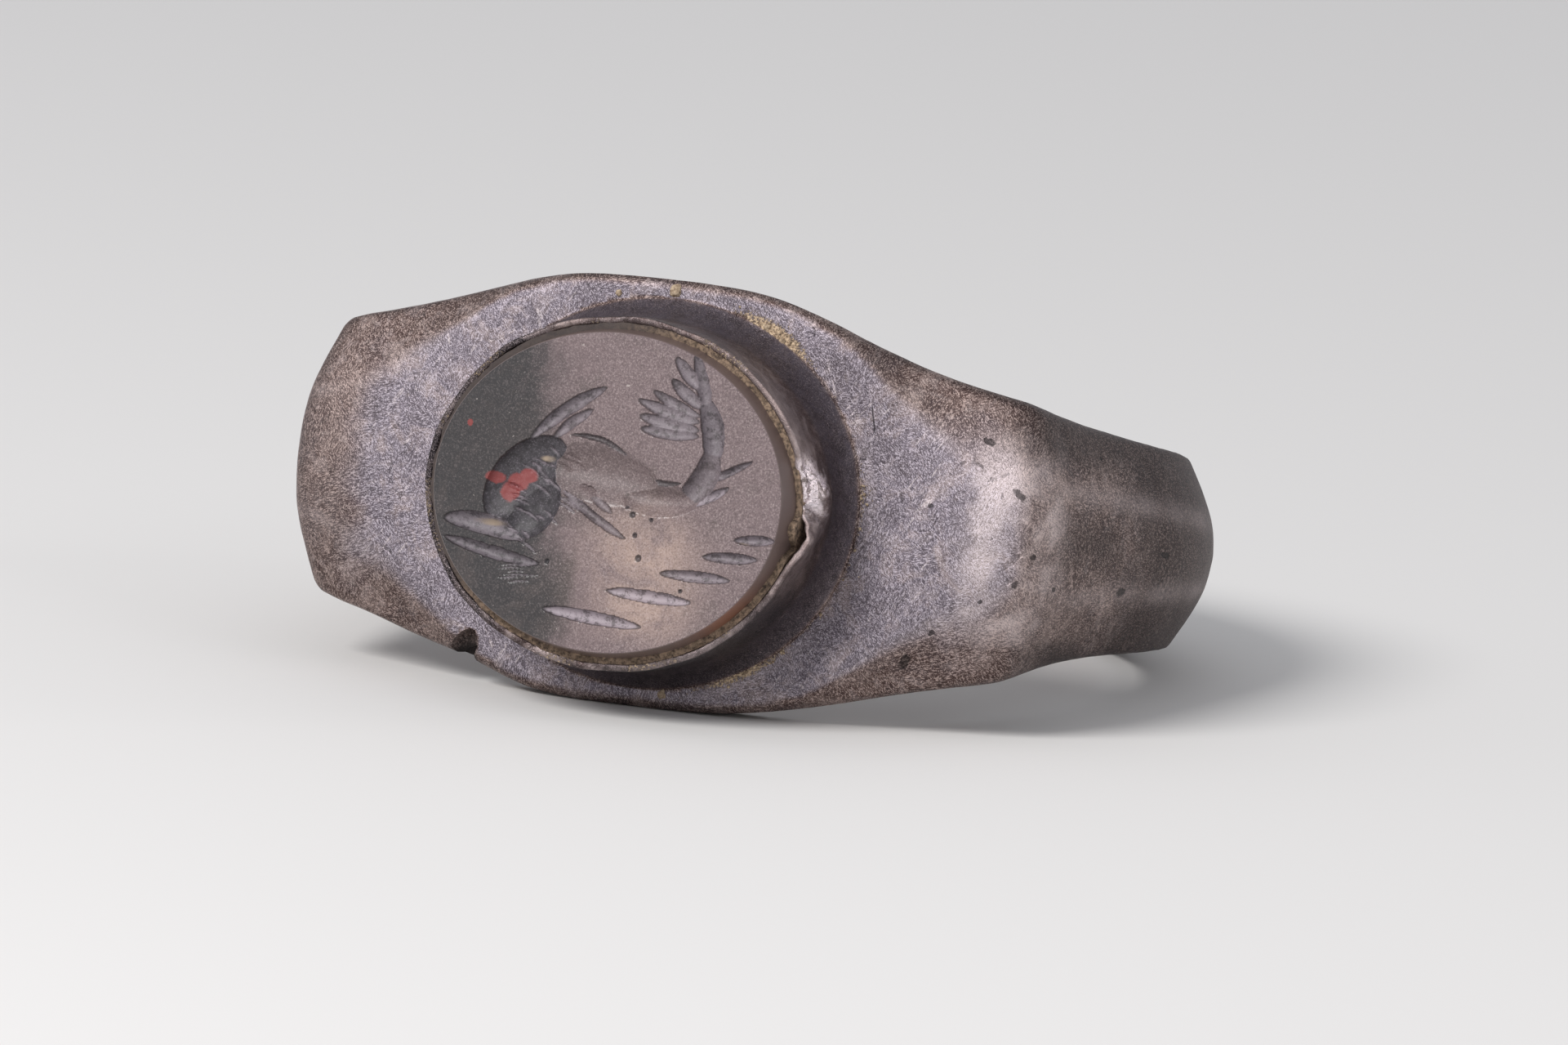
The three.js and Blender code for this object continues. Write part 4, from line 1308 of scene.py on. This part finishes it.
def paste_mesh(form):
    """A thin uneven wall round the stone, rising to the rim, with a lump at the dent."""
    inside = form.grown(form.girdle, -PASTE_OVERLAP)
    outside = form.grown(form.collar_inside, PASTE_OVERLAP)
    low, top = form.paste_base, form.rim_height - 0.01 * MM
    half_way = PASTE_WALL_POINTS + PASTE_TOP_POINTS

    def place(part, turn):
        step = part * 2 * half_way
        near, far, start, end = outside, inside, low, top
        if step >= half_way:
            step -= half_way
            near, far, start, end = inside, outside, top, low
        oval, height = near, lerp(start, end, min(step / PASTE_WALL_POINTS, 1))
        if step >= PASTE_WALL_POINTS:
            oval = near.lerp(far, (step - PASTE_WALL_POINTS) / PASTE_TOP_POINTS)
        point = form.on_oval(oval, turn, height)
        around = math.atan2(point.y, point.x)
        flat_point = (point.x, point.y, 0)
        uneven = 0.05 * noise_at(flat_point, 1.7, 2.0) + 0.03 * noise_at(flat_point, 5.0, 2.0)
        low_right = 0.05 * near_direction(around, -35, 25)
        lump = 0.22 * near_direction(around, -5, 2.6)
        hole = 0.4 * near_direction(around, -11, 1.7)
        dent = 0.7 * form.band.dent_drop * hump(around, form.band.dent_angle, DENT_SPREAD)
        rise = smooth(height, lerp(low, top, 0.8), top)
        point.z += rise * ((uneven + low_right + lump - hole - 0.03) * MM - dent)
        return point

    return reshaped(ring_tube(PASTE_SECTIONS, 2 * half_way), place)


class RING_OT_paste(bpy.types.Operator):
    """Build the setting paste round and under the stone"""
    bl_idname = "ring.add_paste"
    bl_label = "Add paste"

    def execute(self, context):
        form = RingForm(context.scene)
        wall = paste_mesh(form)
        thickness = form.paste.floor
        bed = bmesh.ops.create_cone(
            wall, cap_ends=True, segments=96, radius1=1, radius2=1, depth=thickness)["verts"]
        inner = form.grown(form.paste_inside, PASTE_OVERLAP)
        bmesh.ops.scale(wall, verts=bed, vec=(inner.x, inner.y, 1))
        bmesh.ops.translate(wall, verts=bed, vec=(0, -form.stone.shift, form.paste_base + thickness / 2))
        piece = mesh_object("setting_paste_ring", wall, PASTE_CREASE)
        places = [vert.co / MM for vert in piece.data.vertices]
        write_masks(piece, {"shade": [0.92 * smooth(0.6 * at.y - at.x, 0.5, 3.5) for at in places]})
        piece.data.transform(form.laid_down)
        piece.data.materials.append(
            crumbly_material("Setting paste", form.paste.paste, srgb(62, 50, 42), 9))
        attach(piece, "root")
        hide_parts("setting_paste")
        return {"FINISHED"}


# Soil on the ring

# Lumps that show by themselves: place along and across the bezel and radius, in millimetres.
LUMPS = ((-0.1, 5.42, 0.17), (-1.75, 5.2, 0.09), (0.85, -5.32, 0.12), (2.6, 4.75, 0.10), (3.1, 4.42, 0.09))
# Where crumbs gather round the collar: direction and spread in degrees.
CRUMB_GROUPS = ((58, 16), (60, 10), (7, 3), (-22, 30), (-56, 16), (-58, 10))


def add_lump(mesh_data, middle, radius, fineness, seed):
    made = bmesh.ops.create_icosphere(mesh_data, subdivisions=fineness, radius=radius)["verts"]
    for vert in made:
        vert.co *= 1 + 0.35 * noise.noise(vert.co / radius * 1.3 + Vector((seed, 0, -seed)))
        vert.co.z *= 0.6
    bmesh.ops.translate(mesh_data, verts=made, vec=middle)


class RING_OT_soil(bpy.types.Operator):
    """Scatter dry soil in the corner at the collar's foot"""
    bl_idname = "ring.add_soil"
    bl_label = "Add soil"

    def execute(self, context):
        form = RingForm(context.scene)
        soil = context.scene.ring_soil_settings
        draw = random.Random(7)
        crumbs = bmesh.new()
        height = form.shoulder_height
        for number, (along_bezel, across, radius) in enumerate(LUMPS):
            add_lump(crumbs, (along_bezel * MM, across * MM, height), radius * MM, 3, number * 3.1)
        for number in range(soil.crumbs):
            middle, spread = draw.choice(CRUMB_GROUPS)
            turn = math.radians(draw.gauss(middle, spread * 0.6)) + math.pi / 2
            oval = form.grown(form.foot, abs(draw.gauss(0, 0.14)) * MM)
            foot = form.on_oval(oval, turn, height, 0.0)
            radius = lerp(soil.smallest, soil.largest, draw.random() ** 3)
            add_lump(crumbs, (foot.x, foot.y, height), radius, 1, number * 1.7)
        piece = mesh_object("soil_crumbs", crumbs)
        piece.data.transform(form.laid_down)
        piece.data.materials.append(
            crumbly_material("Dry soil", soil.pale_soil, soil.dark_soil, 9))
        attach(piece, "root")
        return {"FINISHED"}


# The studio

FRAME_WIDTH = 1920
FRAME_HEIGHT = 1279
PIXELS_PER_MM = 46.0
STONE_PIXEL = Vector((743, 603))
# Lights: place and size in metres, and tint. Their powers are settings of the stage.
LIGHTS = {
    "key": ((-0.10, -0.26, 0.24), 0.16, (1.0, 0.98, 0.97)),
    "fill": ((0.30, -0.16, 0.16), 0.12, (0.96, 0.97, 1.0)),
    "edge": ((0.29, 0.14, 0.05), 0.08, (1.0, 0.98, 0.96)),
}


def area_light(name, place, target, size, power, tint):
    data = bpy.data.lights.new(name, "AREA")
    data.shape = "DISK"
    data.size = size
    data.energy = power
    data.color = tint
    lamp = bpy.data.objects.new(name, data)
    bpy.context.scene.collection.objects.link(lamp)
    lamp.location = place
    lamp.rotation_euler = (target - Vector(place)).to_track_quat("-Z", "Y").to_euler()


class RING_OT_stage(bpy.types.Operator):
    """Make the pale floor, the lights and the camera"""
    bl_idname = "ring.add_stage"
    bl_label = "Add stage"

    def execute(self, context):
        scene = context.scene
        stage = scene.ring_stage_settings
        form = RingForm(scene)
        floor = bmesh.new()
        bmesh.ops.create_grid(floor, x_segments=2, y_segments=2, size=stage.floor_size / 2)
        piece = mesh_object("studio_floor", floor)
        material = bpy.data.materials.new("Pale floor")
        material.use_nodes = True
        shader = material.node_tree.nodes["Principled BSDF"].inputs
        shader["Base Color"].default_value = (*stage.floor_colour, 1)
        shader["Roughness"].default_value = 0.85
        piece.data.materials.append(material)

        world = bpy.data.worlds.new("Studio")
        world.use_nodes = True
        backdrop = world.node_tree.nodes["Background"]
        backdrop.inputs["Color"].default_value = (0.94, 0.95, 1.0, 1)
        backdrop.inputs["Strength"].default_value = stage.world_light
        scene.world = world

        middle = Vector((0, 0, (CAD_BOX[0][2] + CAD_BOX[1][2]) / 2))
        powers = {"key": stage.key_power, "fill": stage.fill_power, "edge": stage.edge_power}
        for name, (place, size, tint) in LIGHTS.items():
            area_light(name, place, middle, size, powers[name], tint)

        camera = bpy.data.objects.new("camera", bpy.data.cameras.new("camera"))
        scene.collection.objects.link(camera)
        camera.data.lens = stage.lens
        camera.data.clip_end = 100
        toward = Matrix.Rotation(stage.azimuth, 3, "Z") @ Matrix.Rotation(-stage.elevation, 3, "X")
        upright = toward @ Matrix.Rotation(math.pi / 2, 3, "X") @ Matrix.Rotation(stage.roll, 3, "Z")
        distance = FRAME_WIDTH / PIXELS_PER_MM * MM * stage.lens / camera.data.sensor_width
        stone = form.laid_down @ Vector((0, -form.stone.shift, form.stone_face))
        offset = (Vector((FRAME_WIDTH, FRAME_HEIGHT)) / 2 - STONE_PIXEL) / PIXELS_PER_MM * MM
        aim = stone + upright @ Vector((offset.x, -offset.y, 0))
        camera.location = aim + upright @ Vector((0, 0, distance))
        camera.rotation_euler = upright.to_euler()
        scene.camera = camera
        scene.view_settings.view_transform = "Standard"
        return {"FINISHED"}


class RING_PT_panel(bpy.types.Panel):
    """Lists the ring's pieces"""
    bl_idname = "RING_PT_panel"
    bl_label = "Engraved ring"
    bl_space_type = "VIEW_3D"
    bl_region_type = "UI"
    bl_category = "Ring"

    def draw(self, context):
        for operator in OPERATORS:
            self.layout.operator(operator.bl_idname)


OPERATORS = (RING_OT_band, RING_OT_stone, RING_OT_paste, RING_OT_soil, RING_OT_stage)


def register():
    for name, group in SETTINGS.items():
        bpy.utils.register_class(group)
        setattr(bpy.types.Scene, name, bpy.props.PointerProperty(type=group))
    for item in (*OPERATORS, RING_PT_panel):
        bpy.utils.register_class(item)


def unregister():
    for item in (RING_PT_panel, *reversed(OPERATORS)):
        bpy.utils.unregister_class(item)
    for name, group in SETTINGS.items():
        delattr(bpy.types.Scene, name)
        bpy.utils.unregister_class(group)


def main():
    register()
    bpy.ops.ring.add_band()
    bpy.ops.ring.add_stone()
    bpy.ops.ring.add_paste()
    bpy.ops.ring.add_soil()
    bpy.ops.ring.add_stage()


if __name__ == "__main__":
    main()
